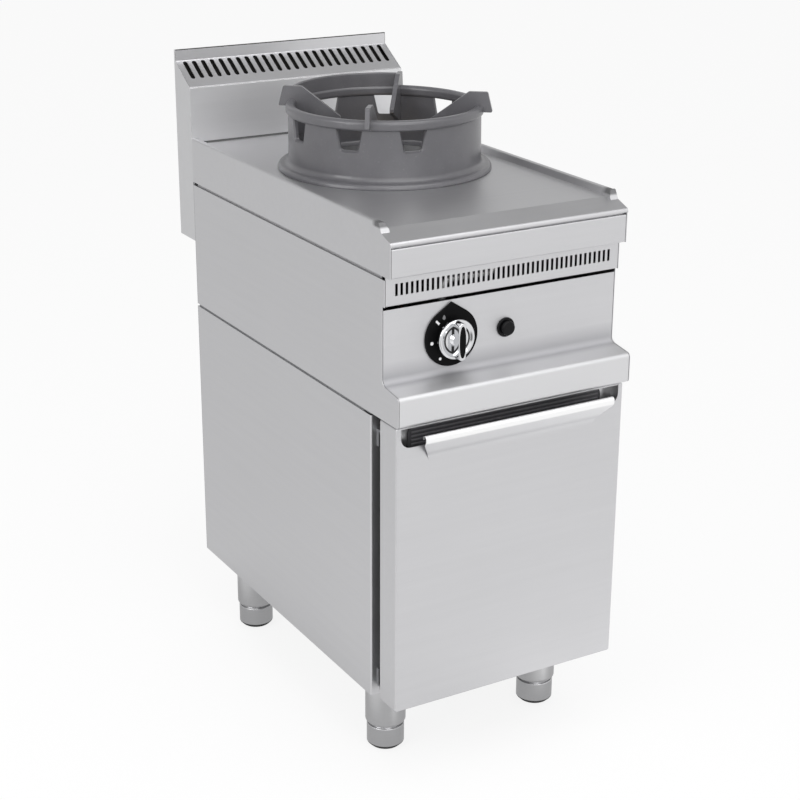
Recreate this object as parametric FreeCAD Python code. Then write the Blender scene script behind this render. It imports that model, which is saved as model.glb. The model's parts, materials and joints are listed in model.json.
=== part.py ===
"""Single-burner gas wok range on a closed cabinet: a narrow free-standing catering module.

Everything is drawn in millimetres, +X to the right seen from the front, +Y to the back and +Z up.
While drawing, y = 0 is the front edge of the worktop; at the end every piece is moved once, so that
the origin is on the floor in the middle of the range's footprint.
"""
import FreeCAD
import Part
import math
import os

V = FreeCAD.Vector

# ----------------------------------------------------------------------------------------------
# Driving dimensions (mm)
# ----------------------------------------------------------------------------------------------
module_width = 400.0        # width of the catering module
sheet = 1.2                 # stainless sheet of the housing
pan_sheet = 1.5             # stainless sheet of the worktop
slip = 0.2                  # side clearance of a sheet that slides in between two others
front_slip = 0.8            # side clearance of the front sheets, seen as a thin dark line
bend = 1.5                  # inside radius of an ordinary sheet bend

# heights, from the floor up
leg_height = 128.0          # floor to the underside of the cabinet
cabinet_height = 455.5      # lower cabinet
lower_seam = 4.5            # shadow gap between the cabinet and the burner unit
unit_height = 206.0         # burner unit, up to its upper shadow gap
upper_seam = 5.0            # shadow gap below the worktop's skirt
skirt_height = 63.5         # worktop skirt, from its lower edge to the cooking surface
rim_height = 9.5            # raised side rims above the cooking surface
rim_width = 9.0             # flat top of a side rim
rim_slope = 4.5             # width of the sloping inner face of a side rim

# depths, from the front edge of the worktop backwards
body_depth = 658.0          # to the back of the burner unit
flue_depth = 60.0           # flue box behind the burner unit
apron_setback = 1.4         # apron behind the rounded nose
apron_step = 4.6            # the apron's upper edge steps back under the nose
nose_gap = 2.5              # shadow gap between the nose and the apron
nose_run = 36.0             # length of the sloping nose
nose_fall = 13.2            # fall of the sloping nose before its rounded edge
nose_lip = 5.5              # upright part of the nose
ledge_hollow = 10.0         # bend between the control panel and the ledge
ledge_radius = 5.0          # inside radius of the ledge's front edges
ledge_return = 20.0         # ledge's underside runs back over the deck
joggle_depth = 4.6          # shadow gap below the worktop's skirt
nose_radius = 5.0           # rounded front edge of the worktop
cheek_top = 33.0            # the side rims end here and slope down
cheek_foot = 25.5           # to here on the nose
bead_foot = 20.0            # solid front end of a rim, down to here
strip_setback = 17.0        # vent strip behind the nose
panel_setback = 23.5        # control panel behind the nose
panel_gap = 6.5             # shadow gap between the control panel and the vent strip
ledge_reach = 22.8          # drip ledge in front of the nose
ledge_face = 45.0           # height of the drip ledge's front face
ledge_rise = 7.0            # rise of the drip ledge towards the panel
strip_height = 44.0         # vent strip
cabinet_setback = 55.5      # front edge of the cabinet behind the nose

# cabinet sheets
post_width = 24.0           # front post, folded out of a cabinet side
post_return = 18.0          # the post's inner edge runs back
side_flange = 18.0          # turned-in upper and lower edges of a cabinet side
floor_setback = 24.0        # cabinet floor behind the cabinet's front edge
floor_edge = 18.0           # turned-up edge of the cabinet floor
rail_depth = 19.0
upper_rail_height = 24.0
lower_rail_height = 22.0

# vent strip slots
vent_count = 44
vent_pitch = 8.4
vent_width = 4.2
vent_length = 17.5

# flue
flue_drop = 165.0           # flue box below the cooking surface
flue_rise = 146.5           # top of the back upstand above the cooking surface
upstand_height = 19.0       # plain strip above the flue grille
upstand_depth = 3.0         # thickness of the folded top edge
grille_fall = 34.7          # fall of the sloping grille from back to front
grille_slots = 24
grille_pitch = 16.0
grille_slot_width = 7.8
grille_slot_length = 43.0
grille_slot_margin = 2.2    # from the grille's upper bend to the slots
throat_width = 300.0        # flue opening between the burner unit and the flue box
throat_height = 80.0
throat_below_pan = 20.0

# door
door_side_gap = 3.0         # door is this much narrower than the module on each side
door_thickness = 45.0
door_standoff = 22.5        # between the door's back and the cabinet's front edge
door_bottom_gap = 3.5       # door starts this much above the cabinet's underside
door_top_gap = 3.5          # below the drip ledge
pocket_width = 378.0        # finger pocket across the top of the door
pocket_height = 32.0
pocket_depth = 20.0
pocket_radius = 16.0
pocket_wall = 1.8           # sheet tray behind the pocket's opening
pocket_sink = 14.0          # tray's floor below the opening's lower edge
grip_width = 336.0          # moulded insert on the tray's back wall
grip_thickness = 3.0
grip_radius = 16.0          # its upper corners
lip_width_top = 326.0       # flared pull lip, out of the door's front sheet
lip_width_bottom = 282.0
lip_reach = 26.0            # lip in front of the door
lip_height = 51.0           # flared part, from its root to its bead
lip_drop = 9.5              # top of the lip's bead below the top of the door
lip_bead = 10.0             # upright part at the lip's top
lip_flare = 24.0            # bend where the lip leaves the door
lip_roll = 3.2              # rolled edge
hinge_inset = 15.0          # hinge pin from the cabinet's side
hinge_standoff = 14.5       # hinge pin in front of the cabinet's front edge
hinge_pin_r = 3.0
hinge_gap = 0.05            # running clearance of the hinge pins
hinge_leaf = 3.0            # thickness of a hinge leaf
hinge_leaf_r = 7.4
hinge_plate = 26.0          # height of a hinge plate on the post
hinge_plate_side = 3.5      # plate outside the pin's axis
hinge_plate_width = 11.5
hinge_arm = 22.0            # door leaf's plate inside the pin's axis
hinge_arm_height = 16.0
hinge_low = 14.0            # lower hinge above the door's lower edge
hinge_high = 24.0           # upper hinge below the door's upper edge
catch_side = 40.0           # magnetic catch from the cabinet's side
catch_width = 50.0
catch_height = 14.0
catch_depth = 14.0
catch_drop = 8.0            # catch below the cabinet's upper edge
strike_gap = 0.3            # between the strike and the catch
strike_margin = 4.0         # strike narrower than the catch on each side

# legs
leg_x = 142.0               # legs from the middle
leg_front = 112.5           # front legs behind the nose
leg_pitch_y = 468.5         # front legs to back legs
leg_r = 31.9
leg_wall = 1.5
leg_skirt = 6.0             # rounded lower end of a leg sleeve
leg_plate = 38.0            # half of the square plate on top of a leg
foot_r = 29.5
foot_height = 38.7          # adjustable foot, retracted
foot_neck = 2.3             # groove between sleeve and foot
foot_neck_r = 26.0
foot_chamfer = 6.0
stem_r = 8.0
stem_length = 62.0
stem_gap = 0.05
plug_height = 20.0

# wok ring
ring_y = 366.0              # burner and ring axis behind the nose
ring_out = 151.0            # outside of the cast wall at its foot
ring_in = 143.0             # inside of the cast wall
ring_draft = 1.0            # the wall is this much smaller at its top
ring_height = 100.5         # from the worktop to the top of its band
band_height = 16.0
band_proud = 4.0            # band outside the wall
flange_r = 167.5            # foot flange of the ring
flange_in = 128.0           # inner edge of the foot flange, round the worktop's collar
flange_height = 8.0
flange_fillet = 8.0
window_directions = (19.3, 59.3, 99.3, 139.3, 179.3, 219.3, 256.8, 339.3)   # degrees from +X
window_top = 40.0           # width of a window's upper edge
window_bottom = 26.0
window_height = 31.0
window_radius = 4.0
window_flare = 3.2          # the windows' edges are this much wider at the wall's outside
window_flare_depth = 4.5
band_round = 6.0            # rounded upper edges of the band
band_under = 5.0            # rounded lower edges of the band
flange_round = 6.2          # rounded outer edge of the foot flange
fin_first = 51.2            # direction of the first fin
fin_pitch = 90.0
fin_thickness = 7.0
fin_top = 20.5              # fins above the band
fin_outer = 168.0
fin_outer_top = 160.1
fin_crown = 131.0           # where the fin's top ends and its slope starts
fin_tip = 70.0              # inner end of the fin's slope
fin_slope_fall = 45.0
fin_hook = 10.5             # hook outside the band, below the band's top
fin_toe = 7.5               # height of the fin's inner end
fin_depth = 36.0            # fin's foot on the wall below its toe
shield_thickness = 6.0

# burner
hole_r = 124.0              # opening in the worktop
collar_height = 6.0
bowl_floor_r = 106.0
bowl_depth = 36.0
bowl_hole_r = 67.0           # lifts out past the burner head
bowl_gap = 0.6              # between the bowl and the worktop's collar
burner_r = 58.0
burner_top = -16.5          # top of the burner body, relative to the cooking surface
burner_height = 71.0
pedestal_r = 30.0
pedestal_height = 13.0
tube_r = 20.0               # mixing tube
tube_bore = 16.0
tube_bell_r = 28.0
tube_front = 112.0          # mouth of the mixing tube behind the nose
head_r = 64.0
head_height = 21.0
head_bore = 30.0
port_count = 30
port_width = 2.6
port_depth = 9.0
spigot_r = 50.0
spigot_depth = 8.0
spigot_gap = 0.6
cap_height = 11.0

# control parts
knob_x = -87.5
knob_z = 106.0              # above the burner unit's underside
bezel_r = 43.4
bezel_tip = 52.0
bezel_thickness = 3.0
neck_r = 10.0
neck_hole_gap = 0.5
spindle_r = 4.0
spindle_gap = 0.05
spindle_proud = 14.0        # spindle in front of the dial
spindle_depth = 19.0        # spindle behind the panel
knob_back_r = 23.0          # round part of the knob, where it faces the dial
knob_r = 29.5               # its rim
knob_flare = 6.6            # depth of the flare from the back to the rim
knob_rim = 6.0              # thickness of the rim
knob_lip = 4.0              # width of the rim's flat face
knob_hub_r = 15.0           # boss under the grip bar
knob_hub_top_r = 9.0
knob_hub_height = 9.0
knob_dish = 1.6             # hollow of the face inside the rim
knob_bar_width = 14.0
knob_bar_length = 57.0
knob_bar_front = 30.0       # front of the grip bar, from the dial
knob_bar_draft = 1.0        # the bar is this much narrower on each side at its front
knob_press = 3.0
knob_float = 0.4            # what is left between knob and dial when the knob is pressed in
button_x = 5.5
button_z = 105.0
button_bezel_r = 14.6
button_bezel = 3.0
button_r = 10.6
button_gap = 0.3
button_stem_r = 4.0
button_stem_gap = 0.05
button_proud = 7.5
button_press = 4.0
igniter_r = 9.0
igniter_length = 46.0

# gas line
inlet_x = -150.0
inlet_z = 52.0              # above the burner unit's underside
inlet_r = 10.5
inlet_length = 34.0
line_r = 8.0
valve_width = 36.0
valve_height = 46.0
valve_depth = 44.0
valve_flange = 2.0
supply_r = 6.0
supply_dip = 28.0           # the tube crosses this much below the injector
injector_r = 8.0
injector_gap = 4.0          # between the injector's tip and the tube's mouth
pilot_x = -84.0
pilot_y = 335.0
lead_pitch = 11.0           # pilot, electrode and sensing tip side by side
shelf_drop = 40.0           # pilot bracket below the top of the burner body
pin_radii = (3.0, 3.0, 1.5)
pilot_pipe_r = 3.0
sense_pipe_r = 1.5
lead_r = 2.5
magnet_r = 9.0

# ----------------------------------------------------------------------------------------------
# Levels and planes that follow from them
# ----------------------------------------------------------------------------------------------
half = module_width / 2
z_cab = leg_height
z_cab_top = z_cab + cabinet_height
z_unit = z_cab_top + lower_seam
z_unit_top = z_unit + unit_height
z_skirt = z_unit_top + upper_seam
z_pan = z_skirt + skirt_height
z_rim = z_pan + rim_height
z_nose = z_pan - nose_fall - nose_lip
z_ledge = z_unit + ledge_face
z_strip = z_skirt - strip_height
z_door = z_cab + door_bottom_gap
z_door_top = z_unit - door_top_gap
z_flue = z_pan - flue_drop
z_flue_top = z_pan + flue_rise
z_grille = z_flue_top - upstand_height
y_flue_back = body_depth + flue_depth
y_rear = body_depth - sheet
door_width = module_width - 2 * door_side_gap
y_door_back = cabinet_setback - door_standoff
y_door = y_door_back - door_thickness
y_lip = y_door - lip_reach
z_lip_root = z_door_top - lip_drop - lip_height
y_back_leg = leg_front + leg_pitch_y
y_middle = (y_flue_back + y_lip) / 2
inner = half - sheet - slip
front_inner = half - sheet - front_slip
z_panel_top = z_strip - panel_gap
z_band = z_pan + ring_height
z_knob = z_unit + knob_z
z_button = z_unit + button_z
z_inlet = z_unit + inlet_z
z_burner = z_pan + burner_top
z_tube = z_burner - burner_height + tube_r + 4
z_cross = z_burner - burner_height - pedestal_height
z_shelf = z_burner - shelf_drop
z_lead_end = z_shelf - 12
y_valve = panel_setback + sheet + valve_flange
y_valve_back = y_valve + valve_depth
y_injector = tube_front - injector_gap - 24
y_return = cabinet_setback + ledge_return
y_joggle = strip_setback + 14
x_magnet = pilot_x + 2 * lead_pitch
z_magnet = z_knob - 10


# ----------------------------------------------------------------------------------------------
# Drawing helpers
# ----------------------------------------------------------------------------------------------
def box(x0, x1, y0, y1, z0, z1):
    """A block between two corners."""
    return Part.makeBox(x1 - x0, y1 - y0, z1 - z0, V(x0, y0, z0))


def rod(r, start, end):
    """A round bar between two points."""
    a, b = V(*start), V(*end)
    return Part.makeCylinder(r, (b - a).Length, a, b - a)


def joined(first, *others):
    """One solid from several that touch or cross."""
    return first.fuse(list(others)).removeSplitter()


def to_space(plane, u, v, w):
    """A point of a drawing plane, w away along the plane's normal axis."""
    return {"YZ": V(w, u, v), "XZ": V(u, w, v), "XY": V(u, v, w)}[plane]


def unit(a, b):
    """Unit vector from a to b in a drawing plane."""
    length = math.hypot(b[0] - a[0], b[1] - a[1])
    return (b[0] - a[0]) / length, (b[1] - a[1]) / length


def corner(before, at, after, r):
    """Start, middle and end of the arc of radius r that rounds the corner at a point."""
    d0, d1 = unit(before, at), unit(at, after)
    turn = math.acos(max(-1.0, min(1.0, d0[0] * d1[0] + d0[1] * d1[1])))
    back = r * math.tan(turn / 2)
    start = (at[0] - d0[0] * back, at[1] - d0[1] * back)
    end = (at[0] + d1[0] * back, at[1] + d1[1] * back)
    to_centre = unit((0, 0), (d1[0] - d0[0], d1[1] - d0[1]))
    reach = r / math.cos(turn / 2) - r
    middle = (at[0] + to_centre[0] * reach, at[1] + to_centre[1] * reach)
    return start, middle, end


def rounded_run(points, radii, plane, w):
    """Edges along an open run of points, with each inner corner rounded by its radius."""
    edges = []
    last = points[0]
    for before, at, after, r in zip(points, points[1:], points[2:], radii):
        if r <= 0:
            edges.append(Part.LineSegment(to_space(plane, *last, w), to_space(plane, *at, w)).toShape())
            last = at
            continue
        start, middle, end = corner(before, at, after, r)
        a, b, c = [to_space(plane, *p, w) for p in (start, middle, end)]
        if (to_space(plane, *last, w) - a).Length > 1e-6:
            edges.append(Part.LineSegment(to_space(plane, *last, w), a).toShape())
        edges.append(Part.Arc(a, b, c).toShape())
        last = end
    edges.append(Part.LineSegment(to_space(plane, *last, w), to_space(plane, *points[-1], w)).toShape())
    return edges


def normal_step(plane, length):
    """The vector that extrudes a drawing plane by a length."""
    return to_space(plane, 0, 0, length)


def prism(points, plane, w0, w1, radii=0.0):
    """A closed outline, its corners rounded, extruded from w0 to w1."""
    if not isinstance(radii, (list, tuple)):
        radii = [radii] * len(points)
    first = ((points[-1][0] + points[0][0]) / 2, (points[-1][1] + points[0][1]) / 2)
    run = [first] + list(points) + [first]
    wire = Part.Wire(rounded_run(run, radii, plane, w0))
    return Part.Face(wire).extrude(normal_step(plane, w1 - w0))


def left_of(points, t):
    """The run of points moved to its left by t, with mitred corners."""
    moved = []
    for i, (x, y) in enumerate(points):
        d0 = unit(points[i - 1], points[i]) if i else unit(points[0], points[1])
        d1 = unit(points[i], points[i + 1]) if i < len(points) - 1 else d0
        share = 1 + d0[0] * d1[0] + d0[1] * d1[1]
        moved.append((x - t * (d0[1] + d1[1]) / share, y + t * (d0[0] + d1[0]) / share))
    return moved


def folded(points, t, plane, w0, w1, bends=None):
    """Folded sheet: thickness t on the left of a run of points, extruded from w0 to w1.

    bends are the inside radii at the inner points of the run."""
    bends = [bend] * (len(points) - 2) if bends is None else bends
    near, far = [], []
    for a, b, c, r in zip(points, points[1:], points[2:], bends):
        d0, d1 = unit(a, b), unit(b, c)
        turns_left = d0[0] * d1[1] - d0[1] * d1[0] > 0
        outside = turns_left == (t > 0)
        near.append(r + abs(t) if outside else r)
        far.append(r if outside else r + abs(t))
    other = left_of(points, t)
    edges = rounded_run(points, near, plane, w0)
    edges += rounded_run(other[::-1], far[::-1], plane, w0)
    edges.append(Part.LineSegment(to_space(plane, *points[-1], w0), to_space(plane, *other[-1], w0)).toShape())
    edges.append(Part.LineSegment(to_space(plane, *other[0], w0), to_space(plane, *points[0], w0)).toShape())
    wire = Part.Wire(Part.__sortEdges__(edges))
    return Part.Face(wire).extrude(normal_step(plane, w1 - w0))


def turned(profile, x, y, radii=0.0, degrees=360.0, start=0.0):
    """A closed profile of (radius, height) turned about the upright axis through x, y."""
    if not isinstance(radii, (list, tuple)):
        radii = [radii] * len(profile)
    first = ((profile[-1][0] + profile[0][0]) / 2, (profile[-1][1] + profile[0][1]) / 2)
    wire = Part.Wire(rounded_run([first] + list(profile) + [first], radii, "XZ", 0.0))
    solid = Part.Face(wire).revolve(V(0, 0, 0), V(0, 0, 1), degrees)
    solid.rotate(V(0, 0, 0), V(0, 0, 1), start)
    solid.translate(V(x, y, 0))
    return solid


def mirrored(shape):
    """The same piece for the other side of the range."""
    return shape.mirror(V(0, 0, 0), V(1, 0, 0))


def pipe(points, r, bend_r):
    """A round tube along straight runs joined by arcs."""
    spots = [V(*p) for p in points]
    edges = []
    last = spots[0]
    for before, at, after in zip(spots, spots[1:], spots[2:]):
        d0, d1 = (at - before).normalize(), (after - at).normalize()
        turn = d0.getAngle(d1)
        back = bend_r * math.tan(turn / 2)
        a, c = at - d0 * back, at + d1 * back
        middle = at + (d1 - d0).normalize() * (bend_r / math.cos(turn / 2) - bend_r)
        edges.append(Part.LineSegment(last, a).toShape())
        edges.append(Part.Arc(a, middle, c).toShape())
        last = c
    edges.append(Part.LineSegment(last, spots[-1]).toShape())
    path = Part.Wire(edges)
    ring = Part.Wire([Part.Circle(spots[0], spots[1] - spots[0], r).toShape()])
    return path.makePipeShell([ring], True, False)


# ----------------------------------------------------------------------------------------------
# Worktop
# ----------------------------------------------------------------------------------------------
def nose_height(y):
    """Height of the sloping nose's upper face at a depth y."""
    return z_pan - nose_fall * (nose_run - y) / nose_run


def worktop():
    """Pressed worktop: raised side rims, sloping rounded nose, side skirts and burner opening."""
    section = [(half, z_skirt), (half, z_rim), (half - rim_width, z_rim),
               (half - rim_width - rim_slope, z_pan), (-half + rim_width + rim_slope, z_pan),
               (-half + rim_width, z_rim), (-half, z_rim), (-half, z_skirt)]
    body = folded(section, pan_sheet, "XZ", nose_run, body_depth, [bend, 0.5, 0.5, 0.5, 0.5, bend])
    run = [(nose_run + 4, z_pan), (nose_run, z_pan), (0, z_pan - nose_fall), (0, z_nose), (8, z_nose)]
    nose = folded(run, pan_sheet, "YZ", -half, half, [0.5, nose_radius - pan_sheet, 0.3])
    cheek = [(nose_run, z_skirt), (nose_run, z_rim), (cheek_top, z_rim), (cheek_foot, nose_height(cheek_foot)),
             (0, z_pan - nose_fall), (0, z_nose), (apron_setback, z_nose), (apron_setback, z_skirt)]
    rounding = [0, 0, 2, 2, nose_radius, 0, 0, 0]
    left = prism(cheek, "YZ", -half, -half + pan_sheet, rounding)
    foot = nose_height(bead_foot) - 1
    stop = [(nose_run, foot), (nose_run, z_rim), (cheek_top, z_rim), (cheek_foot, nose_height(cheek_foot)),
            (bead_foot, foot)]
    bead = prism(stop, "YZ", -half, -half + rim_width + rim_slope, [0, 0, 2, 2, 0])
    bevel = [(-half + rim_width, z_rim), (-half + rim_width + rim_slope, z_pan),
             (-half + rim_width + 3 * rim_slope, z_pan - 2 * rim_height), (-half + 60, z_rim)]
    bead = bead.cut(prism(bevel, "XZ", 0, nose_run + 1))
    pan = joined(body, nose, left, mirrored(left), bead, mirrored(bead))
    collar = turned([(hole_r, z_pan - pan_sheet), (hole_r + pan_sheet, z_pan - pan_sheet),
                     (hole_r + pan_sheet, z_pan + collar_height), (hole_r, z_pan + collar_height)],
                    0, ring_y)
    hole = rod(hole_r, (0, ring_y, z_pan - 5), (0, ring_y, z_pan + 5))
    return joined(pan.cut(hole), collar)


def apron():
    """Upright front fascia under the nose."""
    step = apron_setback + apron_step
    top = z_nose - nose_gap
    run = [(step + 10, z_nose), (step, z_nose), (step, top), (apron_setback, top), (apron_setback, z_skirt),
           (strip_setback + 4, z_skirt)]
    wide = half - pan_sheet - front_slip
    return folded(run, sheet, "YZ", -wide, wide, [0, 0, bend, bend])


# ----------------------------------------------------------------------------------------------
# Wok ring
# ----------------------------------------------------------------------------------------------
def window_outline(grow, x):
    """A window's outline at a distance x from the axis: a trapezium, wider at its top."""
    top = z_band - band_height
    low = top - window_height - grow
    a, b = window_top / 2 + grow, window_bottom / 2 + grow
    r = window_radius + grow
    return Part.Wire(rounded_run([(0, top), (-a, top), (-b, low), (b, low), (a, top), (0, top)],
                                 [0, r, r, 0], "YZ", x))


def ring_window(direction):
    """Cutter for one window through the ring's wall, flared at the outside."""
    foot = ring_out - window_flare_depth
    wall = Part.makeLoft([window_outline(0, ring_in - 12), window_outline(0, foot + 1)], True, True)
    flare = Part.makeLoft([window_outline(0, foot), window_outline(2 * window_flare,
                           foot + 2 * window_flare_depth)], True, True)
    cutter = joined(wall, flare)
    cutter.rotate(V(0, 0, 0), V(0, 0, 1), direction)
    cutter.translate(V(0, ring_y, 0))
    return cutter


def ring_fin(direction):
    """One fin: hooked over the band outside, sloping down inside to carry the pan's round base."""
    top = z_band + fin_top
    toe = top - fin_slope_fall
    root = ring_in + 3
    shape = [(fin_outer, z_band - fin_hook), (fin_outer_top, top), (fin_crown, top), (fin_tip, toe),
             (fin_tip, toe - fin_toe), (root, toe - fin_depth), (root, z_band - fin_hook)]
    fin = prism(shape, "XZ", -fin_thickness / 2, fin_thickness / 2, [2, 3, 4, 3, 3, 0, 0])
    fin.rotate(V(0, 0, 0), V(0, 0, 1), direction)
    fin.translate(V(0, ring_y, 0))
    return fin


def wok_ring():
    """Cast-iron wok ring: foot flange, windowed wall, rolled band, four fins and a shield at the back."""
    low = z_band - band_height
    top_out = ring_out - ring_draft
    flange = z_pan + flange_height
    profile = [(flange_in, z_pan), (flange_r, z_pan), (flange_r, flange), (ring_out, flange),
               (top_out, low), (top_out + band_proud, low + 2), (top_out + band_proud, z_band),
               (ring_in - 3, z_band), (ring_in - 3, low + 2), (ring_in, low - 1),
               (ring_in, flange), (flange_in, flange - 2)]
    rounding = [1, 1, flange_round, flange_fillet, 0, band_under, band_round, band_round, band_under, 0,
                4, 1.5]
    ring = turned(profile, 0, ring_y, rounding)
    ring = ring.cut([ring_window(a) for a in window_directions])
    inside = ring_in - 1.5
    crown = [(inside, z_band - 4), (inside + shield_thickness, z_band - 4),
             (inside + shield_thickness, z_band + fin_top), (inside, z_band + fin_top)]
    shield = turned(crown, 0, ring_y, [0, 0, 2, 2], fin_pitch, fin_first)
    fins = [ring_fin(fin_first + fin_pitch * i) for i in range(4)]
    return joined(ring, shield, *fins)


# ----------------------------------------------------------------------------------------------
# Burner
# ----------------------------------------------------------------------------------------------
def spill_bowl():
    """Bowl round the burner, hung on the worktop's collar."""
    rest = z_pan + collar_height
    floor = rest - bowl_depth
    run = [(hole_r + 3, rest), (hole_r - bowl_gap, rest), (bowl_floor_r, floor), (bowl_hole_r, floor),
           (bowl_hole_r, floor + 6)]
    profile = run + left_of(run, -sheet)[::-1]
    bowl = turned(profile, 0, ring_y)
    slot = box(pilot_x - 8, pilot_x + 2 * lead_pitch + 8, pilot_y - 8, pilot_y + 8, floor - 5, floor + 12)
    return bowl.cut(slot)


def burner_body():
    """Cast mixing bowl with its mixing tube."""
    low = z_burner - burner_height
    bowl = turned([(0, low), (burner_r - 12, low), (burner_r, low + 18), (burner_r, z_burner),
                   (0, z_burner)], 0, ring_y, [0, 5, 6, 2, 0])
    foot = rod(pedestal_r, (0, ring_y, z_cross), (0, ring_y, low + 2))
    tube = rod(tube_r, (0, tube_front + 20, z_tube), (0, ring_y, z_tube))
    bell = Part.makeCone(tube_bell_r, tube_r, 24, V(0, tube_front, z_tube), V(0, 1, 0))
    body = joined(bowl, foot, tube, bell)
    hollow = turned([(0, low + 12), (burner_r - 20, low + 12), (spigot_r + spigot_gap, low + 30),
                     (spigot_r + spigot_gap, z_burner + 1), (0, z_burner + 1)], 0, ring_y)
    bore = rod(tube_bore, (0, tube_front - 1, z_tube), (0, ring_y, z_tube))
    flare = Part.makeCone(tube_bell_r - 4, tube_bore, 20, V(0, tube_front - 0.01, z_tube), V(0, 1, 0))
    return body.cut([hollow, bore, flare])


def burner_head():
    """Cast burner head: a ring of radial flame ports over a spigot."""
    top = z_burner + head_height
    profile = [(head_bore, z_burner - spigot_depth), (spigot_r, z_burner - spigot_depth),
               (spigot_r, z_burner), (head_r, z_burner), (head_r, top), (head_r - 12, top),
               (head_r - 12, z_burner + 6), (head_bore, z_burner + 6)]
    head = turned(profile, 0, ring_y, [0, 0, 0, 2, 1, 0, 0, 0])
    ports = []
    for i in range(port_count):
        cutter = box(head_r - 16, head_r + 4, -port_width / 2, port_width / 2, top - port_depth, top + 2)
        cutter.rotate(V(0, 0, 0), V(0, 0, 1), 360.0 * i / port_count)
        cutter.translate(V(0, ring_y, 0))
        ports.append(cutter)
    return head.cut(ports)


def burner_cap():
    """Domed cap that closes the burner head."""
    low = z_burner + head_height
    dome = turned([(0, low), (head_r - 3, low), (head_r - 3, low + 5), (18, low + cap_height),
                   (0, low + cap_height)], 0, ring_y, [0, 0, 3, 6, 0])
    spigot = rod(head_r - 13, (0, ring_y, low - 6), (0, ring_y, low))
    return joined(dome, spigot)


def burner_bracket():
    """Cross channel between the unit's sides that carries the burner."""
    run = [(ring_y + 18, z_cross - 18), (ring_y + 18, z_cross), (ring_y - 18, z_cross),
           (ring_y - 18, z_cross - 18)]
    channel = folded(run, 2.0, "YZ", -inner, inner)
    ends = box(-half + sheet, -half + sheet + 2, ring_y - 18, ring_y + 18, z_cross - 30, z_cross)
    return joined(channel, ends, mirrored(ends))


def pilot_bracket():
    """Angle that holds the pilot, the sensing tip and the spark electrode beside the burner."""
    front = ring_y - 18
    middle = pilot_x + lead_pitch
    run = [(front, z_cross - 14), (front, z_shelf), (pilot_y - 9, z_shelf)]
    plate = folded(run, 2.0, "YZ", middle - lead_pitch - 6, middle + lead_pitch + 6)
    holes = [rod(r + 0.2, (pilot_x + i * lead_pitch, pilot_y, z_shelf - 20),
                 (pilot_x + i * lead_pitch, pilot_y, z_shelf + 20)) for i, r in enumerate(pin_radii)]
    return plate.cut(holes)


def collared(x, r, collar_r, top):
    """An upright pin with a collar that rests on the pilot bracket."""
    stem = rod(r, (x, pilot_y, z_lead_end), (x, pilot_y, top))
    return joined(stem, rod(collar_r, (x, pilot_y, z_shelf), (x, pilot_y, z_shelf + 12)))


def pilot_burner():
    """Pilot burner with its hood."""
    top = z_burner + head_height - 4
    hood = rod(4.5, (pilot_x, pilot_y, top - 12), (pilot_x, pilot_y, top))
    slot = box(pilot_x - 1, pilot_x + 12, pilot_y - 1.2, pilot_y + 1.2, top - 7, top - 2)
    return joined(collared(pilot_x, 3.0, 5.0, top - 6), hood).cut(slot)


def spark_electrode():
    """Spark electrode: ceramic sleeve with a thin rod."""
    x = pilot_x + lead_pitch
    top = z_burner + head_height - 2
    return joined(collared(x, 3.0, 4.8, top - 14), rod(1.0, (x, pilot_y, top - 16), (x, pilot_y, top)))


def thermocouple():
    """Sensing tip of the flame safety device with its thin tube down to the valve."""
    tip = collared(x_magnet, sense_pipe_r, 4.0, z_burner + head_height - 10)
    lead = pipe([(x_magnet, y_valve_back, z_magnet), (x_magnet, pilot_y, z_magnet),
                 (x_magnet, pilot_y, z_lead_end)], sense_pipe_r, 18)
    return joined(tip, lead)


def pilot_tube():
    """Small gas tube from the valve to the pilot burner."""
    level = z_knob + 10
    return pipe([(pilot_x, y_valve_back, level), (pilot_x, pilot_y, level),
                 (pilot_x, pilot_y, z_lead_end)], pilot_pipe_r, 20)


def spark_lead():
    """Ignition lead from the igniter to the electrode."""
    x = pilot_x + lead_pitch
    rear = panel_setback + sheet + igniter_length
    turn = rear + 50
    low = z_knob - 34
    return pipe([(button_x, rear, z_button), (button_x, turn, z_button), (button_x, turn, low),
                 (x, turn, low), (x, pilot_y, low), (x, pilot_y, z_lead_end)], lead_r, 14)


# ----------------------------------------------------------------------------------------------
# Burner unit housing
# ----------------------------------------------------------------------------------------------
def unit_side():
    """Left side sheet of the burner unit, cut to the profile of the control panel and drip ledge."""
    outline = [(y_rear, z_unit_top), (strip_setback, z_unit_top), (strip_setback, z_strip),
               (panel_setback, z_strip), (panel_setback, z_ledge + ledge_rise), (-ledge_reach, z_ledge),
               (-ledge_reach, z_unit), (y_rear, z_unit)]
    rounding = [0, 0, 0, 0, ledge_hollow, ledge_radius + sheet, ledge_radius, 0]
    plate = prism(outline, "YZ", -half, -half + sheet, rounding)
    skirt_face = -half + pan_sheet
    joggle = [(-half + sheet, z_unit_top), (-half + joggle_depth, z_unit_top),
              (-half + joggle_depth, z_skirt + 3), (skirt_face, z_skirt + 7), (skirt_face, z_skirt + 19)]
    lip = folded(joggle, -sheet, "XZ", y_joggle, y_rear - 6, [0.3, 0.3, 0.3])
    foot_flange = box(-half + sheet, -half + 22, y_return + 2, y_rear - 6, z_unit, z_unit + sheet)
    return joined(plate, lip, foot_flange)


def unit_back():
    """Back sheet of the burner unit, with the flue throat and the gas inlet's hole."""
    plate = box(-half, half, y_rear, body_depth, z_unit, z_unit_top)
    tall = box(-inner + 0.5, inner - 0.5, y_rear, body_depth, z_unit, z_pan - pan_sheet)
    top = z_pan - throat_below_pan
    throat = box(-throat_width / 2, throat_width / 2, y_rear - 1, body_depth + 1, top - throat_height, top)
    hole = rod(inlet_r + 0.5, (inlet_x, y_rear - 1, z_inlet), (inlet_x, body_depth + 1, z_inlet))
    return joined(plate, tall).cut([throat, hole])


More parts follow.
